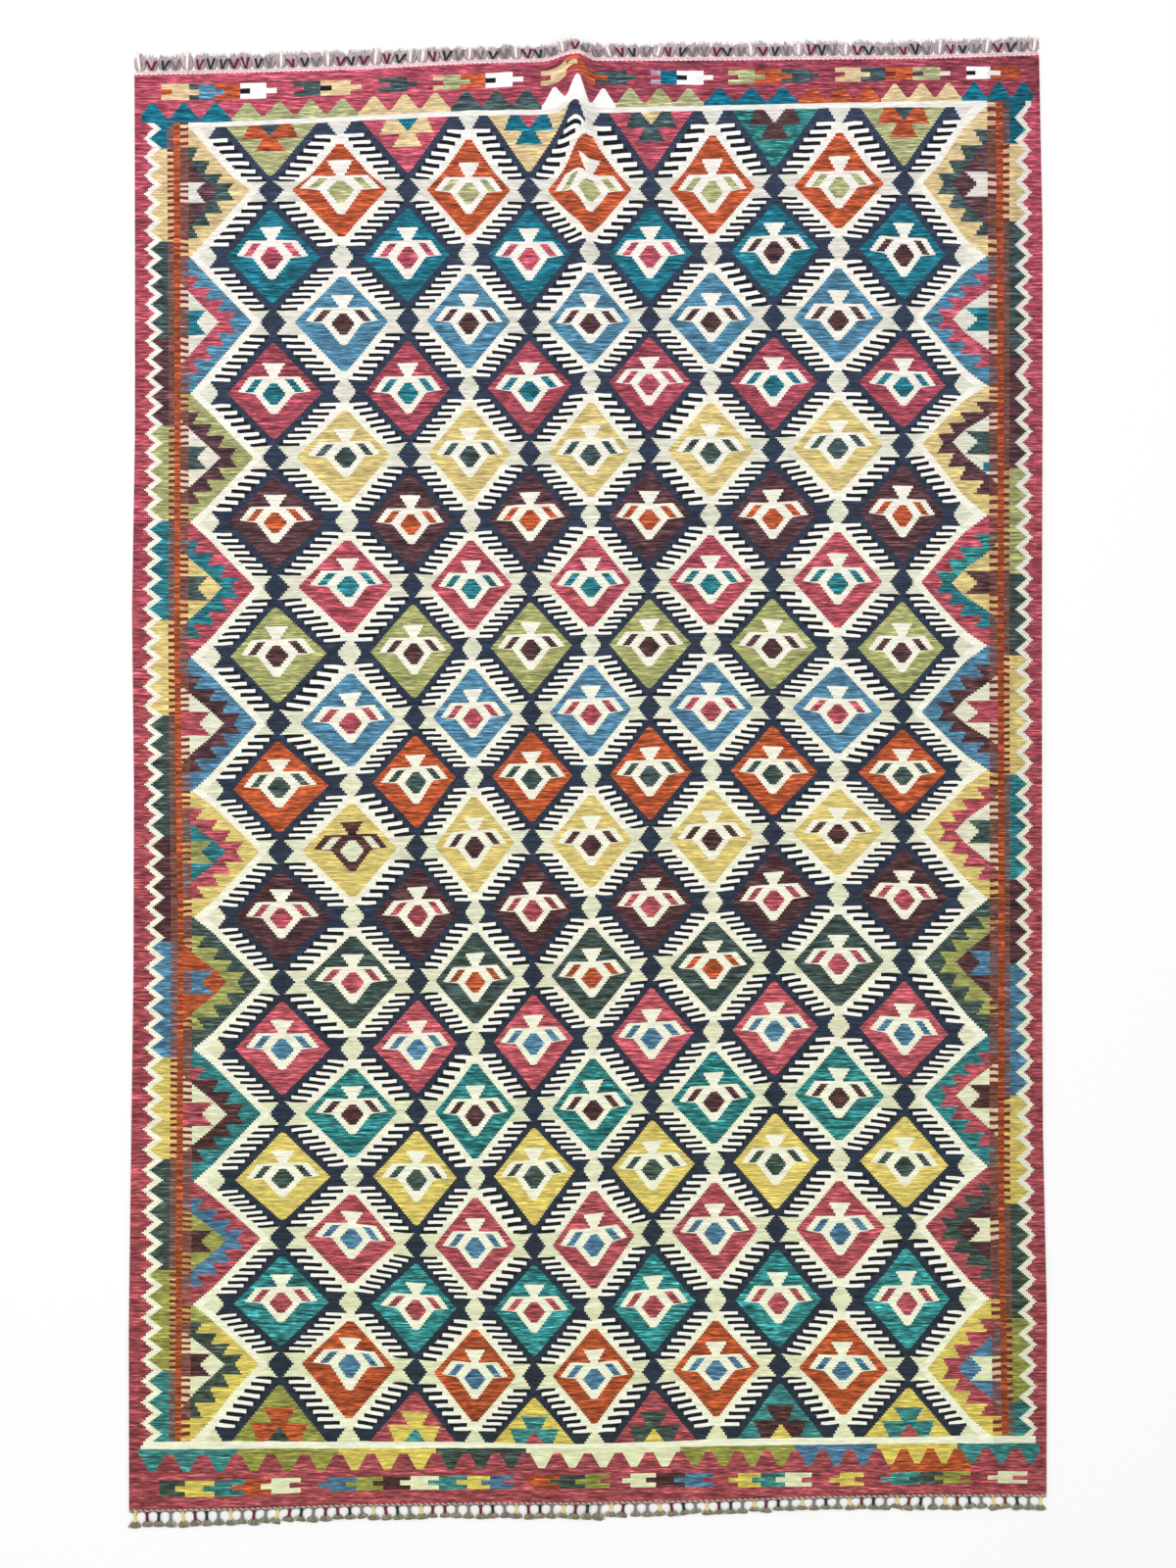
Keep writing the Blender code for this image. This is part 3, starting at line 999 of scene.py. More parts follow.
# %% Teeth and blocks
FRAME_LINE = 0.08
TOOTH_TIP = {"head": 0.34, "foot": 0.40}
TOOTH_VALLEY = 0.24
TOOTH_FLATS = {"head": (0.12, 0.12), "foot": (0.25, 0.20)}  # share of a step, in the valley and on the tip
TEETH_EDGE = -1.0
TONGUE = 0.38
SCALLOP = 0.0105  # from loop to loop of the pale warp that shows along the head end
TONGUE_HALF = 0.34
BLOCK_ROWS = {"head": (0.40, 0.62), "foot": (0.52, 0.74)}
RED_GROUND = (25.98, 1.47)  # middle and half width, in teeth, of the red ground round the yellow teeth at the foot


def by_end(table, number=None):
    """The head's value in the upper half of the rug and the foot's in the lower one."""
    head, foot = [table[end] if number is None else table[end][number] for end in ("head", "foot")]
    return choose(lower_half, foot, head)


beyond = choose(lower_half, weft - 20.0, 0.0 - weft)
tooth_rise = (beyond - FRAME_LINE) / (by_end(TOOTH_TIP) - FRAME_LINE)
teeth_field = attribute_field(wool_tree, "teeth")
tooth_slope = 1.0 - abs(part(teeth_field) - 0.5) * 2.0
valley, flat_tip = by_end(TOOTH_FLATS, 0), by_end(TOOTH_FLATS, 1)
tooth_height = TOOTH_VALLEY + (tooth_slope - valley) / (1.0 - valley - flat_tip) * (1.0 - TOOTH_VALLEY)
tooth_height = math_node("MAXIMUM", tooth_height, TOOTH_VALLEY)
in_tooth = (tooth_rise < least(tooth_height, 1.0)) & (inward > TEETH_EDGE)
teeth_lists = {
    end: listed(whole(teeth_field), [dye for dye, number, _ in TEETH[end] for _ in range(number)])
    for end in ("head", "foot")
}
tooth_dye = by_end(teeth_lists)
print("nodes so far", len(wool_tree.nodes))

# %% Blocks
def block_lists(end):
    """Each block's own dye, that of its prongs, and that of the tongue in its notch."""
    dyes = [dye for dye, _ in BLOCKS[end]]
    neighbours = ["rose"] + dyes[:-1] if end == "head" else dyes[1:] + ["rose"]
    prongs = [PRONGS[end].get(number, dye) for number, dye in enumerate(dyes)]
    notches = [NOTCHES[end].get(number, dye) for number, dye in enumerate(neighbours)]
    return dyes, prongs, notches


block_field = attribute_field(wool_tree, "block")
block_low, block_high = by_end(BLOCK_ROWS, 0), by_end(BLOCK_ROWS, 1)
from_middle = abs((beyond - block_low) / (block_high - block_low) * 2.0 - 1.0)
listed_blocks = {end: listed(whole(block_field), *block_lists(end)) for end in ("head", "foot")}
own_dye, prong_dye, notch_dye = [by_end(listed_blocks, number) for number in range(3)]
step_part = part(block_field)
toothed = choose(lower_half, step_part > 1.0 - TONGUE, step_part < TONGUE)
block_dye = choose(toothed, choose(from_middle < TONGUE_HALF, notch_dye, prong_dye), own_dye)
block_dye = choose(block_field < 0.0, DYE["rose"], block_dye)

red_ground = lower_half & (abs(teeth_field - RED_GROUND[0]) < RED_GROUND[1]) & (beyond < BLOCK_ROWS["foot"][0])
end_dye = choose(in_tooth, tooth_dye, choose(red_ground, DYE["orange"], DYE["rose"]))
end_dye = choose(from_middle < 1.0, block_dye, end_dye)
frame_reach = choose(lower_half, -0.92, FIELD_EDGE)
in_frame = (beyond > 0.0) & (beyond < FRAME_LINE)
beside_frame = choose(inward > frame_reach, DYE["ivory"], border_dye)
inside_dye = choose(inward > FIELD_EDGE, field_dye, border_dye)
dye = choose(beyond > FRAME_LINE, end_dye, choose(in_frame, beside_frame, inside_dye))
scallop = abs(math_node("COSINE", wool_x * (np.pi / SCALLOP))) * 1.8 + 3.2
dye = choose(attribute_field(wool_tree, "margin") < scallop, DYE["pale pink"], dye)
print("nodes so far", len(wool_tree.nodes))

# %% [markdown]
# ### Colour
#
# The dyes look different in the two halves of the rug, most of them darker towards the foot, so the
# palette is read twice, as it looks at the head and at the foot, and mixed along the rug. Hand-dyed
# wool is never even: each new length of yarn is a little darker or lighter, which shows as level
# streaks that weavers call abrash. The streaks are noise, long across and thin along the rug, and
# each dye has its own. Light goes up and down by powers of two, so a streak can't turn black. The
# warps show as faint ribs, and a fine wave across the colour paints in the shade of each rib.

# %% The palette
PALETTE = {  # at the head, at the foot, and how strongly it streaks
    "rose": ((182, 81, 100), (150, 71, 74), 1.0),
    "cream": ((222, 217, 216), (221, 225, 180), 0.25),
    "navy": ((52, 62, 84), (36, 46, 56), 0.55),
    "black": ((18, 22, 32), (18, 24, 28), 0.4),
    "white": ((253, 250, 248), (246, 247, 232), 0.12),
    "teal": ((8, 101, 127), (57, 121, 115), 1.0),
    "light green": ((172, 174, 130), (141, 143, 64), 0.70),
    "yellow": ((219, 193, 152), (206, 189, 86), 0.50),
    "dark green": ((63, 81, 85), (59, 73, 63), 1.1),
    "aubergine": ((90, 62, 70), (68, 39, 38), 1.1),
    "blue": ((81, 131, 159), (71, 111, 135), 0.90),
    "orange": ((179, 83, 52), (163, 77, 40), 0.95),
    "brown": ((84, 58, 62), (70, 42, 39), 1.0),
    "sea green": ((46, 120, 118), (46, 120, 118), 1.3),
    "maroon": ((116, 44, 44), (110, 42, 36), 0.6),
    "lilac": ((164, 146, 170), (160, 150, 166), 0.6),
    "pale yellow": ((209, 188, 123), (209, 188, 123), 0.55),
    "ivory": ((243, 237, 234), (238, 240, 209), 0.18),
    "pale pink": ((250, 222, 226), (250, 222, 226), 0.2),
}
HEAD_FOOT_POWER = 0.7  # most of the change lies in the half near the head
STRENGTH_SCALE = 2.0  # a ramp holds nothing over 1


def as_light(channel):
    """A screen value from 0 to 255 as light, by the usual curve."""
    share = channel / 255
    return share / 12.92 if share <= 0.04045 else ((share + 0.055) / 1.055) ** 2.4


def palette_ramp(tree, place, end):
    """The colour of each dye number, as a stepped ramp; its alpha holds the streak strength."""
    node = tree.nodes.new("ShaderNodeValToRGB")
    ramp = node.color_ramp
    ramp.interpolation = "CONSTANT"
    while len(ramp.elements) < len(DYES):
        ramp.elements.new(1.0)
    for number, name in enumerate(DYES):
        ramp.elements[number].position = number / len(DYES)
        strength = PALETTE[name][2] / STRENGTH_SCALE
        ramp.elements[number].color = (*[as_light(c) for c in PALETTE[name][end]], strength)
    tree.links.new(place.socket, node.inputs[0])
    return node


def mix_colours(tree, share, first, second, kind="MIX"):
    """Two colours mixed by a share."""
    node = tree.nodes.new("ShaderNodeMix")
    node.data_type = "RGBA"
    node.blend_type = kind
    for slot, term in zip((node.inputs[0], node.inputs[6], node.inputs[7]), (share, first, second)):
        if isinstance(term, Field):
            tree.links.new(term.socket, slot)
        elif isinstance(term, (float, tuple)):
            slot.default_value = term
        else:
            tree.links.new(term, slot)
    return node.outputs[2]


dye_place = (dye + 0.5) / float(len(DYES))
at_the_head, at_the_foot = (palette_ramp(wool_tree, dye_place, end) for end in (0, 1))
streak_strength = Field(wool_tree, at_the_head.outputs["Alpha"]) * STRENGTH_SCALE
from_the_head = math_node("MULTIPLY_ADD", wool_y, -1 / CLOTH_LENGTH, 0.5)
down_share = math_node("POWER", math_node("MAXIMUM", from_the_head, 0.0), HEAD_FOOT_POWER)
dyed = mix_colours(wool_tree, down_share, at_the_head.outputs["Color"], at_the_foot.outputs["Color"])
print("nodes so far", len(wool_tree.nodes))

# %% Ticks, streaks and thread shade
RIGHT_SHADE = 0.84  # the right border's light, against the left one's
LEFT_ROSE_SHADE = 0.87
HEAD_ROSE_FALL = 0.33  # how much darker the rose of the head end is in its right half
TICK_TINT = (*[as_light(c) for c in (136, 92, 78)], 1.0)
PEACH_TINT = (*[as_light(c) for c in (240, 150, 100)], 1.0)
TOP_RIGHT_SHADE = 0.62
tick_zone = in_ticks & (1.0 - in_rib) & (1.0 - merged) & (beyond < 0.0)
pale = at(neighbour, DYE["yellow"]) | at(neighbour, DYE["cream"]) | at(neighbour, DYE["light green"])
pale = pale | at(neighbour, DYE["pale yellow"])
dyed = mix_colours(wool_tree, tick_zone * choose(pale, 0.06, 0.5), dyed, TICK_TINT)
dyed = mix_colours(wool_tree, tick_zone * pale * (1.0 - dark_tick) * 0.25, dyed, PEACH_TINT)

RIDGE = 0.0042  # from warp to warp
own_shift = dye * 0.37  # so that a streak breaks off where the colour changes
broad_streak = noise_field(wool_tree, joined(wool_tree, wool_x * 7.0, wool_y * 75.0 + own_shift), 1.0, 0.5)
long_streak = noise_field(wool_tree, joined(wool_tree, wool_x * 20.0 + own_shift, wool_y * 230.0), 2.0, 0.6)
short_streak = noise_field(wool_tree, joined(wool_tree, wool_x * 50.0 - own_shift, wool_y * 420.0), 1.0, 0.5)
ridge_wave = math_node("COSINE", wool_x * (2 * np.pi / RIDGE))
# abrash streaks, and the ridge wave as painted shade of the warp ribs
streaks = (broad_streak - 0.5) * 2.2 + (long_streak - 0.5) * 6.0 + (short_streak - 0.5) * 4.4 + ridge_wave * 0.14
abrash_and_rib_shade = math_node("POWER", 2.0, streaks * streak_strength)

plain_ground = in_ground & (1.0 - bird) & (1.0 - is_half) & (reach_in > ODD_EDGE + OUTLINE) & (beyond < 0.0)
bath_shade = choose(plain_ground & (inward > FIELD_EDGE), (row_shade + float(SHADE_BASE)) * 0.01, 1.0)
side_shade = choose(right_half & (inward < FIELD_EDGE), RIGHT_SHADE, 1.0)
left_rose = (1.0 - right_half) & (inward < BAND_EDGE) & at(dye, DYE["rose"])
side_shade = choose(left_rose, LEFT_ROSE_SHADE, side_shade)
top_band = right_half & (band_field < 0.5) & (inward < BAND_EDGE) & at(dye, DYE["teal"]) & (beyond < 0.0)
side_shade = choose(top_band, TOP_RIGHT_SHADE, side_shade)
rib_shade = choose(in_rib & dark_tick & (beyond < 0.0), 0.72, 1.0)
head_rose = at(dye, DYE["rose"]) & (beyond > FRAME_LINE) & (1.0 - lower_half)
to_the_right = least(math_node("MAXIMUM", (warp - 2.6) / 3.3, 0.0), 1.0)
shade = abrash_and_rib_shade * bath_shade * side_shade * rib_shade * (1.0 - head_rose * to_the_right * HEAD_ROSE_FALL)

bright = wool_tree.nodes.new("ShaderNodeHueSaturation")
wool_tree.links.new(shade.socket, bright.inputs["Value"])
wool_tree.links.new(dyed, bright.inputs["Color"])
print("nodes so far", len(wool_tree.nodes))

# %% [markdown]
# ### The weave's relief
#
# A kilim is weft-faced: the wefts hide the warps, but the warps still show as fine ridges that run
# the length of the rug, 4.2 mm apart, and each weft is a small bump over every second one. The bump
# is the product of a wave across and a wave along, shifted by half a ridge at each weft.

# %% Relief and shader
PICK = 0.0021
pick_wave = math_node("COSINE", wool_y * (2 * np.pi / PICK) + ridge_wave * 0.9)
height = ridge_wave * 0.6 + pick_wave * 0.25 + long_streak * 0.8
bump = wool_tree.nodes.new("ShaderNodeBump")
bump.inputs["Strength"].default_value = 0.35
bump.inputs["Distance"].default_value = 0.0006
wool_tree.links.new(height.socket, bump.inputs["Height"])

wool_shader = wool_tree.nodes["Principled BSDF"]
wool_tree.links.new(bright.outputs[0], wool_shader.inputs["Base Color"])
wool_tree.links.new(bump.outputs[0], wool_shader.inputs["Normal"])
roughness = math_node("MULTIPLY_ADD", long_streak, 0.12, 0.82)
wool_tree.links.new(roughness.socket, wool_shader.inputs["Roughness"])
wool_shader.inputs["Specular IOR Level"].default_value = 0.2
wool_shader.inputs["Sheen Weight"].default_value = 0.06
wool_shader.inputs["Sheen Roughness"].default_value = 0.5
cloth.data.materials.append(wool)
print("finish nodes", len(wool_tree.nodes))

# %% [markdown]
# ## The fringe
#
# At each end the last wefts are locked by a twined cord, and the warps come out of it in bunches.
# Two legs of warp run together into a shank that is wrapped with coloured wool, and past the
# wrapping the cut ends fan out in a tuft. The places, lengths and leans are drawn exactly as the
# CAD draws them, so every tassel lies in its solid. Each strand is a tube: rings of points along a
# path. All strands of one kind are worked out together, as one array.

# %% Where the tassels lie
TASSELS = 77
SEAM_GAP = 0.0003
CORD_WIDTH = 0.004
TASSEL_LENGTHS = {
    "foot": (36, 33, 30, 31, 32, 27, 27, 29, 30),
    "head": (38, 40, 37, 32, 33, 34, 34, 35, 36),
}
LENGTH_SPREAD = 2.5
LEAN_SPREAD = 0.08
LEAN_SWELL = 0.18
LEAN_WAVES = (0.37, 0.11)
DROOP = 0.5
FRINGE_SEEDS = {"head": 11, "foot": 23}


def lay_out_tassels(end):
    """Root, length, lean and direction of each tassel of one end, with the CAD's own draws."""
    rng = np.random.default_rng(FRINGE_SEEDS[end])
    places = np.arange(TASSELS)
    swell_lean = np.sin(places * LEAN_WAVES[0]) * np.sin(places * LEAN_WAVES[1])
    lean = LEAN_SWELL * swell_lean + rng.uniform(-LEAN_SPREAD, LEAN_SPREAD, TASSELS)
    centres = (places + 0.5) / TASSELS
    length = np.interp(centres, EVEN_STEPS, TASSEL_LENGTHS[end])
    length = (length + rng.uniform(-LENGTH_SPREAD, LENGTH_SPREAD, TASSELS)) * MM
    outwards = 1 if end == "head" else -1
    root = underside(centres, 1.0 if end == "head" else 0.0)
    root[:, 1] += outwards * (SEAM_GAP + CORD_WIDTH)
    return {"root": root, "length": length, "lean": lean, "outwards": outwards, "end": end}


def tassel_path(layout, along, aside_by=0.0, height=0.0):
    """Points of every tassel at those shares of its length, moved sideways and up."""
    root, length = layout["root"][:, None], layout["length"][:, None]
    x = root[..., 0] + layout["lean"][:, None] * length * along**1.5 + aside_by
    y = root[..., 1] + layout["outwards"] * length * along
    z = root[..., 2] * (1 - DROOP * along**2) + height
    return np.stack(np.broadcast_arrays(x, y, z), axis=-1)


layouts = {end: lay_out_tassels(end) for end in ("head", "foot")}
print({end: layout["length"].mean().round(4) for end, layout in layouts.items()})

# %% Tubes along paths
def tubes(paths, radii, sides, flat=1.0):
    """Points and faces of many tubes: at each path point a ring, square to the path seen from above.

    paths is tubes by points by x, y, z, and radii is tubes by points. A ring point lies at the cosine
    of its angle to the left of the path and at the sine, flattened, above it. Quads join the rings,
    and the first and last of each tube are closed."""
    count, steps = radii.shape
    heading = np.gradient(paths, axis=1)
    left = np.stack([-heading[..., 1], heading[..., 0], np.zeros((count, steps))], axis=-1)
    left /= np.linalg.norm(left, axis=-1, keepdims=True)
    turn = (np.arange(sides) * 2 * np.pi / sides + np.pi / 2)[:, None]
    ring = left[:, :, None] * np.cos(turn) + np.sin(turn) * flat * np.array([0, 0, 1.0])
    points = paths[:, :, None] + radii[:, :, None, None] * ring
    index = np.arange(count * steps * sides).reshape(count, steps, sides)
    after = np.roll(index, -1, axis=2)
    walls = np.stack([index[:, :-1], after[:, :-1], after[:, 1:], index[:, 1:]], -1).reshape(-1, 4)
    return points.reshape(-1, 3), walls.tolist() + index[:, 0, ::-1].tolist() + index[:, -1].tolist()


def repeated(values, steps, sides):
    """One value a tube, given to all its points."""
    return np.repeat(values, steps * sides, axis=0)


one_path = np.array([[[0, 0, 0], [0, 1, 0]]], float)
print("one tube:", [len(part_list) for part_list in tubes(one_path, np.ones((1, 2)), 3)], "points and faces")

# %% [markdown]
# The yarn colours go on the points, because each shank is wrapped in its own dye. They come in an
# order that repeats, with a slip here and there, as when a weaver reaches for the next ball of wool.

# %% Yarn colours
YARNS = {
    "arch": (136, 126, 116),
    "tuft": (186, 182, 156),
    # painted shadow of the gaps between the threads, the colour of the foot's tuft cores
    "tuft core shadow": (116, 112, 92),
    "pale tuft": (250, 238, 240),
    # painted shadow of the gaps between the threads, the colour of the head's tuft cores
    "pale core shadow": (184, 160, 167),
    "white cord": (252, 226, 228),
    "pink cord": (240, 196, 204),
    "pale cord": (226, 206, 192),
    "dark cord": (120, 82, 82),
    "yellow": (230, 210, 132),
    "maroon": (112, 34, 48),
    "dark green": (34, 52, 50),
    "grey": (128, 124, 118),
    "cream": (253, 246, 238),
}
WRAPS = {
    "foot": ("yellow", "maroon", "dark green", "grey"),
    "head": ("cream", "maroon", "dark green", "grey"),
}
YARN_SEEDS = {"head": 5, "foot": 6}
WRAP_SLIP = 0.15


def yarn(name):
    """A yarn's colour as light."""
    return np.array([as_light(channel) for channel in YARNS[name]])


def wrap_colours(end, rng):
    """One colour a tassel: the repeat, with some drawn at random."""
    names = WRAPS[end]
    turn = np.arange(TASSELS) % len(names)
    slip = rng.random(TASSELS) < WRAP_SLIP
    turn = np.where(slip, rng.integers(0, len(names), TASSELS), turn)
    return np.array([yarn(name) for name in names])[turn]


print(len(YARNS), "yarns")

# %% [markdown]
# At the foot a tassel has two legs, which spring from the cord in small arches, a wrapped shank and
# a tuft. At the head the wrapped warps part at once, so there is a short coloured V instead, with
# pale threads over it. A soft flat core keeps every tuft from being see-through, and its colour is
# painted shadow: the dark of the gaps between the threads.

# %% Legs and wrapped warps
ARCH = CLOTH_WIDTH / TASSELS / 2  # half the way to the next tassel
LEG_SHARE = 0.26
SHANK_RADIUS = 0.0033
LEG_RADIUS = 0.0015
V_SHARES = (-1.0, -0.8, -0.6, 0.6, 0.8, 1.0)  # of the opening, by strand
V_HALF = 0.0100
V_RADIUS = 0.0017


def legs(layout, rng):
    """Two tubes a tassel: quarter ellipses from the shank, over to the neighbour's leg at the cord."""
    angle = np.linspace(0, np.pi / 2, 7)
    along = LEG_SHARE * (1 - np.sin(angle))
    parts = []
    for side in (-1, 1):
        gap = ARCH - (ARCH - 0.0014) * np.cos(angle)
        paths = tassel_path(layout, along, side * gap, 0.0014)
        parts.append((tubes(paths, np.full(paths.shape[:2], LEG_RADIUS), 5), repeated(np.tile(yarn("arch"), (TASSELS, 1)), 7, 5)))
    return parts


def shanks(layout, rng):
    """One wrapped tube a tassel, with a bead of wrapping at each end."""
    along = np.linspace(0.04, 0.60, 10)
    beads = 0.0003 * np.cos(np.linspace(0, 2 * np.pi, 10)) + 0.00015 * np.cos(np.arange(10) * np.pi)
    paths = tassel_path(layout, along, 0.0, 0.0024)
    colours = repeated(wrap_colours(layout["end"], rng), 10, 8)
    return [(tubes(paths, np.tile(SHANK_RADIUS + beads, (TASSELS, 1)), 8, 0.8), colours)]


def opened_wraps(layout, rng):
    """Coloured strands that open evenly from the cord; the cream ones stay together and run on."""
    wraps = wrap_colours(layout["end"], rng)
    straight = np.all(wraps == yarn("cream"), axis=1)[:, None]
    reach = np.where(straight, 0.92, 0.58) * rng.uniform(0.8, 1.1, (TASSELS, 1))
    half = np.where(straight, 0.0016, V_HALF) * rng.uniform(0.7, 1.2, (TASSELS, 1))
    tilt = rng.uniform(-0.5, 0.5, (TASSELS, 1)) * V_HALF
    share = np.linspace(0, 1, 5)
    parts = []
    for fan in V_SHARES:
        paths = tassel_path(layout, reach * share, fan * (0.0008 + half * share) + tilt * share, 0.0050)
        radii = np.tile(V_RADIUS * (1 - 0.5 * share**2), (TASSELS, 1))
        parts.append((tubes(paths, radii, 5), repeated(wraps, 5, 5)))
    return parts


print("arch", round(ARCH, 4), "m")

# %% [markdown]
# The tufts are loose threads that fan out, each with its own tone, over the flat core.

# %% Tufts
THREADS = 24
THREADS_IN_A_CLUMP = 4
ROOT_TONE, TIP_TONE = 0.75, 1.25  # threads look darker between their neighbours than at their tips
TUFTS = {  # where it starts, half its width, its skew, its thread's yarn, its core's painted shadow and the spread of its tones
    "head": {"start": 0.04, "half": 0.0128, "skew": 0.4, "thread": "pale tuft", "core": "pale core shadow", "tones": (0.42, 1.06)},
    "foot": {"start": 0.54, "half": 0.0150, "skew": 0.25, "thread": "tuft", "core": "tuft core shadow", "tones": (0.58, 1.25)},
}
CORE_SHARES = np.array([0.0, 0.2, 0.45, 0.7, 0.86, 0.93])
CORE_REACH = {"head": 0.80, "foot": 1.0}
RAGGED = {"head": 0.68, "foot": 0.84}  # reach of the shortest threads
CORE_HALVES = {
    "head": np.array([0.0090, 0.0118, 0.0124, 0.0120, 0.0100, 0.0060]),
    "foot": np.array([0.0020, 0.0075, 0.0112, 0.0118, 0.0095, 0.0040]),
}
LONG_TASSELS = {"head": (), "foot": (38, 39)}  # two that were never cut back


def tuft_lengths(layout):
    """How far each tuft reaches, as a share of its tassel's length."""
    reach = np.ones((TASSELS, 1))
    reach[list(LONG_TASSELS[layout["end"]])] = 1.3
    return reach


def cores(layout, rng):
    """The body of each tuft: a flat tube that swells and closes again."""
    tuft = TUFTS[layout["end"]]
    shares = CORE_SHARES * CORE_REACH[layout["end"]] * tuft_lengths(layout)
    along = tuft["start"] + (1 - tuft["start"]) * shares
    paths = tassel_path(layout, along, 0.0, 0.0016)
    # the core's colour is painted shadow, the dark between the threads
    colours = repeated(np.tile(yarn(tuft["core"]), (TASSELS, 1)), len(CORE_SHARES), 8)
    return [(tubes(paths, np.tile(CORE_HALVES[layout["end"]], (TASSELS, 1)), 8, 0.14), colours)]


def loose_threads(layout, rng):
    """Threads that fan out: sideways by their share of the fan and the tuft's skew, and a little up."""
    tuft = TUFTS[layout["end"]]
    share = np.linspace(0, 1, 5)
    skew = rng.uniform(-tuft["skew"], tuft["skew"], (TASSELS, 1))
    clump_tones = rng.uniform(*tuft["tones"], (TASSELS, THREADS // THREADS_IN_A_CLUMP))
    parts = []
    for number in range(THREADS):
        fan = (number + 0.5) / THREADS * 2 - 1 + rng.uniform(-0.14, 0.14, (TASSELS, 1))
        reach = (rng.uniform(RAGGED[layout["end"]], 1.0, (TASSELS, 1)) - 0.10 * fan**2) * tuft_lengths(layout)
        along = tuft["start"] + (1 - tuft["start"]) * reach * share
        opening = fan * 0.0014 + (fan + skew) * (tuft["half"] - 0.0014) * share**0.6
        curl = rng.uniform(-0.0012, 0.0012, (TASSELS, 1)) * np.sin(np.pi * share)
        arch = rng.uniform(0.0020, 0.0046, (TASSELS, 1)) * (1 - 0.6 * share**1.5)
        paths = tassel_path(layout, along, opening + curl, arch)
        radii = np.tile(0.0010 * (1 - 0.4 * share), (TASSELS, 1))
        clump = clump_tones[:, number // THREADS_IN_A_CLUMP, None]
        tone = clump * rng.uniform(0.85, 1.0, (TASSELS, 1))
        lit = (ROOT_TONE + (TIP_TONE - ROOT_TONE) * share)[:, None]
        colours = np.minimum((yarn(tuft["thread"]) * tone)[:, None] * lit, 1.0).reshape(-1, 3)
        parts.append((tubes(paths, radii, 3), np.repeat(colours, 3, axis=0)))
    return parts


print("threads in a tuft", THREADS)

# %% [markdown]
# The edge cord is two strands that wind round each other all along the end: each is a tube whose
# path circles the cord's middle line once in 12 mm, half a turn apart from the other.

# %% The twined cord
TWIST = 0.012
CORD_RADIUS = 0.00130
CORD_SWING = (0.00065, 0.00035)  # along the floor, and up and down
CORD_YARNS = {"head": ("white cord", "pink cord"), "foot": ("pale cord", "dark cord")}


def twined_cord(layout, rng):
    """Two strands round the end's line: cosine along the floor, and sine up and down."""
    end, outwards = layout["end"], layout["outwards"]
    u = np.linspace(0.0012, 0.9988, 900)
    line = underside(u, 1.0 if end == "head" else 0.0)
    line[:, 1] += outwards * (SEAM_GAP + CORD_WIDTH / 2 - 0.0004)
    line[:, 2] += CORD_RADIUS + CORD_SWING[1]
    turn = line[:, 0] * 2 * np.pi / TWIST
    parts = []
    for start, name in zip((0, np.pi), CORD_YARNS[end]):
        path = line.copy()
        path[:, 1] += CORD_SWING[0] * np.cos(turn + start)
        path[:, 2] += CORD_SWING[1] * np.sin(turn + start)
        strand = tubes(path[None], np.full((1, len(u)), CORD_RADIUS), 6)
        parts.append((strand, np.tile(yarn(name), (len(strand[0]), 1))))
    return parts


print("turns along the end", round(CLOTH_WIDTH / TWIST))

# %% One piece an end
MAKERS = {
    "head": (opened_wraps, cores, loose_threads, twined_cord),
    "foot": (legs, shanks, cores, loose_threads, twined_cord),
}


def tie_fringe(end):
    """All strands of one end in one mesh, with their yarn colours on its points."""
    rng = np.random.default_rng(YARN_SEEDS[end])
    layout = layouts[end]
    parts = [made for maker in MAKERS[end] for made in maker(layout, rng)]
    points, faces, colours, start = [], [], [], 0
    for (some_points, some_faces), some_colours in parts:
        points.append(some_points)
        colours.append(some_colours)
        faces += [[start + corner for corner in face] for face in some_faces]
        start += len(some_points)
    points = np.concatenate(points)
    points[:, 2] = np.maximum(points[:, 2], 0.0001)
    piece = new_piece(f"kilim_fringe_{end}", points, faces)
    stored = piece.data.attributes.new("yarn", "FLOAT_COLOR", "POINT")
    rgba = np.concatenate([np.concatenate(colours), np.ones((len(points), 1))], axis=1)
    stored.data.foreach_set("color", rgba.astype(np.float32).ravel())
    return piece


fringes = {end: tie_fringe(end) for end in ("head", "foot")}
print({end: len(piece.data.polygons) for end, piece in fringes.items()})

# %% [markdown]
# The yarn's finish reads the colour on the points, breaks it up with fine noise that follows the
# strands, and roughens it. Yarn is matt, with the faint halo that sheen gives.

# %% The yarn's finish
fringe_wool, fringe_tree = new_finish("fringe_yarn")
yarn_colour = fringe_tree.nodes.new("ShaderNodeAttribute")
yarn_colour.attribute_name = "yarn"
yarn_x, yarn_y = spot(fringe_tree)
fibre = noise_field(fringe_tree, joined(fringe_tree, yarn_x * 900.0, yarn_y * 260.0), 3.0, 0.65)
yarn_shade = fringe_tree.nodes.new("ShaderNodeHueSaturation")
fringe_tree.links.new(math_node("MULTIPLY_ADD", fibre, 1.0, 0.5).socket, yarn_shade.inputs["Value"])
fringe_tree.links.new(yarn_colour.outputs["Color"], yarn_shade.inputs["Color"])
yarn_bump = fringe_tree.nodes.new("ShaderNodeBump")
yarn_bump.inputs["Strength"].default_value = 0.5
yarn_bump.inputs["Distance"].default_value = 0.0005
fringe_tree.links.new(fibre.socket, yarn_bump.inputs["Height"])
yarn_shader = fringe_tree.nodes["Principled BSDF"]
fringe_tree.links.new(yarn_shade.outputs[0], yarn_shader.inputs["Base Color"])
fringe_tree.links.new(yarn_bump.outputs[0], yarn_shader.inputs["Normal"])
fringe_tree.links.new(math_node("MULTIPLY_ADD", fibre, 0.2, 0.75).socket, yarn_shader.inputs["Roughness"])
yarn_shader.inputs["Specular IOR Level"].default_value = 0.2
yarn_shader.inputs["Sheen Weight"].default_value = 0.1
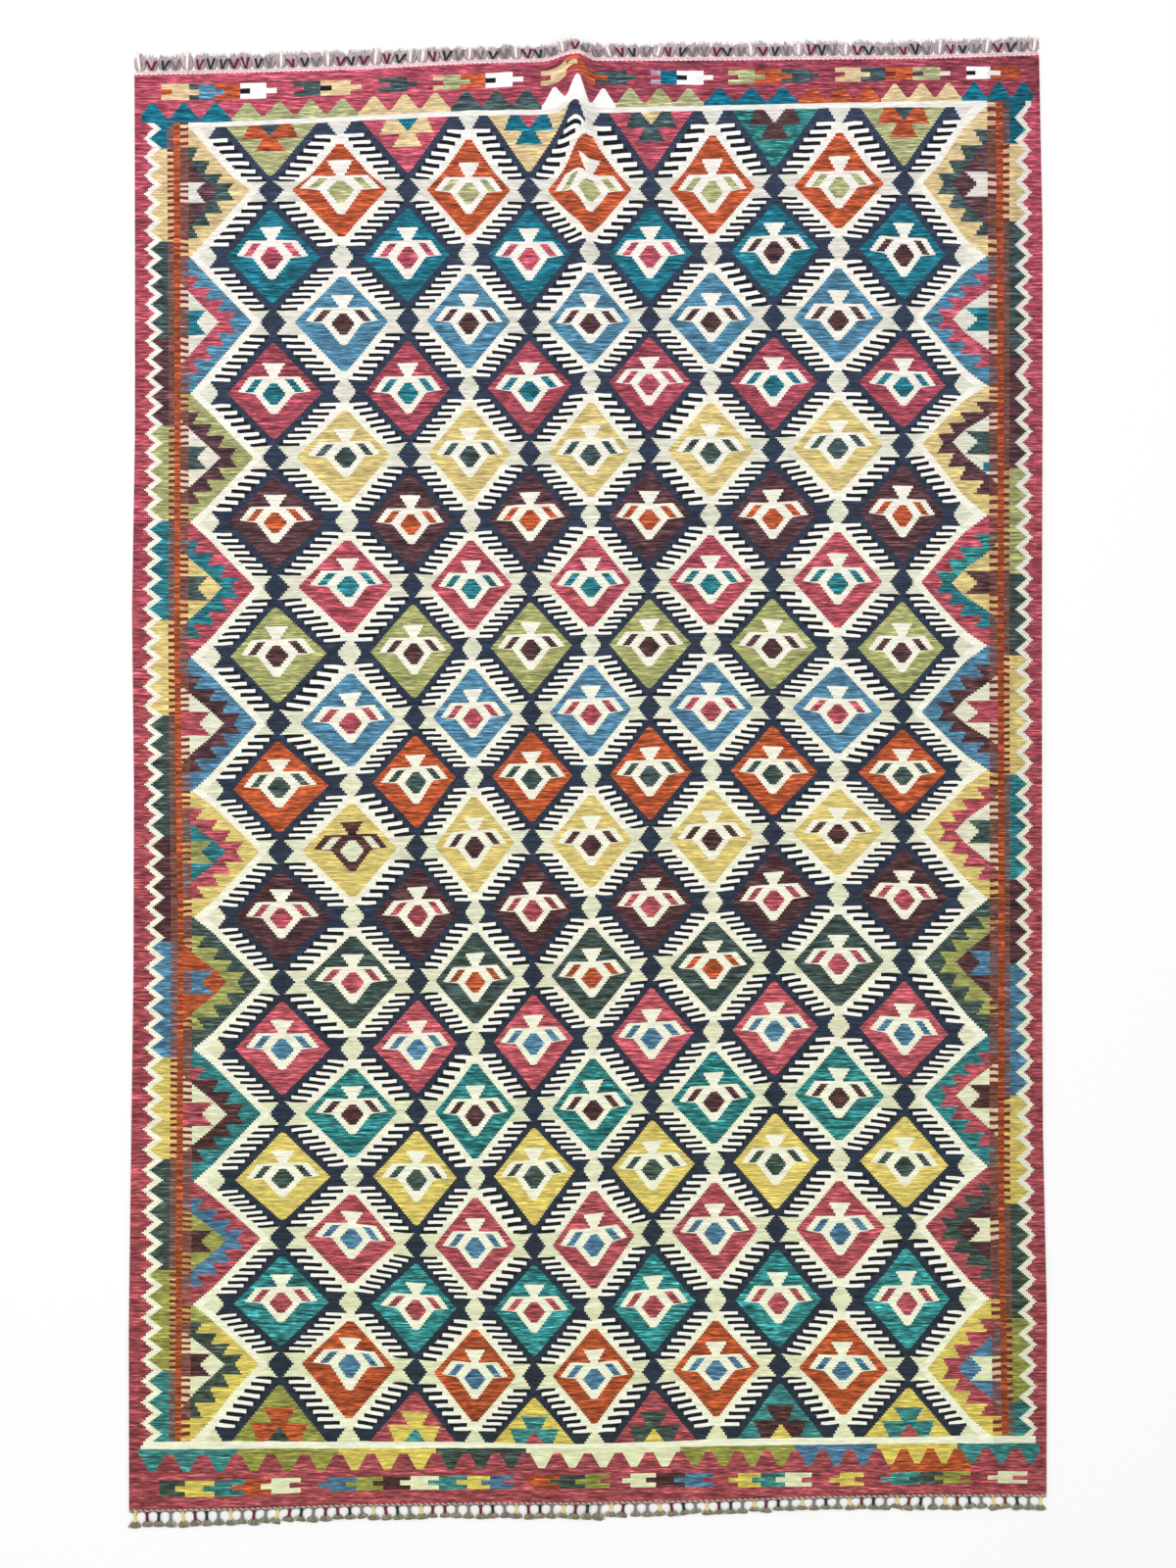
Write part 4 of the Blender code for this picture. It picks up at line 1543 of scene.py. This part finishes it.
for piece in fringes.values():
    piece.data.materials.append(fringe_wool)
print("yarn nodes", len(fringe_tree.nodes))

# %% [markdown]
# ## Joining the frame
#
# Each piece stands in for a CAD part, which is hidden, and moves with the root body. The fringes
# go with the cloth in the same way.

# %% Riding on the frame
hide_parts("kilim_cloth")
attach(cloth, "root")
for end, piece in fringes.items():
    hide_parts(f"fringe_{end}")
    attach(piece, "root")
print("pieces", [cloth.name] + [piece.name for piece in fringes.values()])

# %% [markdown]
# ## Floor, light and camera
#
# The rug was photographed from straight above on a pale ground under soft light. The camera looks
# straight down from 3.6 m. Most of the light comes from the whole sky of the studio, and one large
# soft lamp from the head end gives the fold its shade.

# %% The floor
FLOOR_SIZE = 12.0


def lay_floor():
    """A square floor just under the rug."""
    half = FLOOR_SIZE / 2
    corners = np.array([(-half, -half, -0.0002), (half, -half, -0.0002), (half, half, -0.0002), (-half, half, -0.0002)])
    floor = new_piece("studio_floor", corners, [(0, 1, 2, 3)])
    paper, tree = new_finish("studio_paper")
    shader = tree.nodes["Principled BSDF"]
    floor_x, floor_y = spot(tree)
    grain = noise_field(tree, joined(tree, floor_x, floor_y), 2.0, 0.5, 40.0)
    tone = mix_colours(tree, grain, (0.97, 0.97, 0.97, 1.0), (0.98, 0.98, 0.98, 1.0))
    tree.links.new(tone, shader.inputs["Base Color"])
    shader.inputs["Roughness"].default_value = 0.9
    shader.inputs["Specular IOR Level"].default_value = 0.1
    floor.data.materials.append(paper)
    return floor


floor = lay_floor()
print(floor.name)

# %% Light
SKY_STRENGTH = 0.90
LAMP_POWER = 44.0


def light_studio():
    """An even white sky, and one square lamp high over the head end, turned to the middle."""
    world = bpy.data.worlds.new("studio_sky")
    world.use_nodes = True
    background = world.node_tree.nodes["Background"]
    background.inputs["Color"].default_value = (1.0, 1.0, 1.0, 1.0)
    background.inputs["Strength"].default_value = SKY_STRENGTH
    bpy.context.scene.world = world
    lamp_data = bpy.data.lights.new("soft_lamp", "AREA")
    lamp_data.size = 2.5
    lamp_data.energy = LAMP_POWER
    lamp = bpy.data.objects.new("soft_lamp", lamp_data)
    lamp.location = (-1.6, 1.8, 4.2)
    lamp.rotation_euler = (-lamp.location).to_track_quat("-Z", "Y").to_euler()
    bpy.context.scene.collection.objects.link(lamp)
    return lamp


lamp = light_studio()
bpy.context.scene.view_settings.view_transform = "Standard"
print(lamp.name, lamp.location[:])

# %% Camera
CAMERA_HEIGHT = 3.6
FRAME_STEPS = (1200, 1600)


def hang_camera():
    """Straight down, with a lens that fits the frame's long side: focal length is sensor by distance."""
    data = bpy.data.cameras.new("overhead")
    data.sensor_width = 36.0
    data.sensor_fit = "AUTO"
    data.lens = data.sensor_width * CAMERA_HEIGHT / (FRAME_STEPS[1] * CHART_STEP)
    camera = bpy.data.objects.new("overhead", data)
    x = (FRAME_STEPS[0] / 2 - CHART_MIDDLE[0]) * CHART_STEP
    y = (CHART_MIDDLE[1] - FRAME_STEPS[1] / 2) * CHART_STEP
    camera.location = (x, y, CAMERA_HEIGHT)
    bpy.context.scene.collection.objects.link(camera)
    bpy.context.scene.camera = camera
    return camera


camera = hang_camera()
print("lens", round(camera.data.lens, 2))
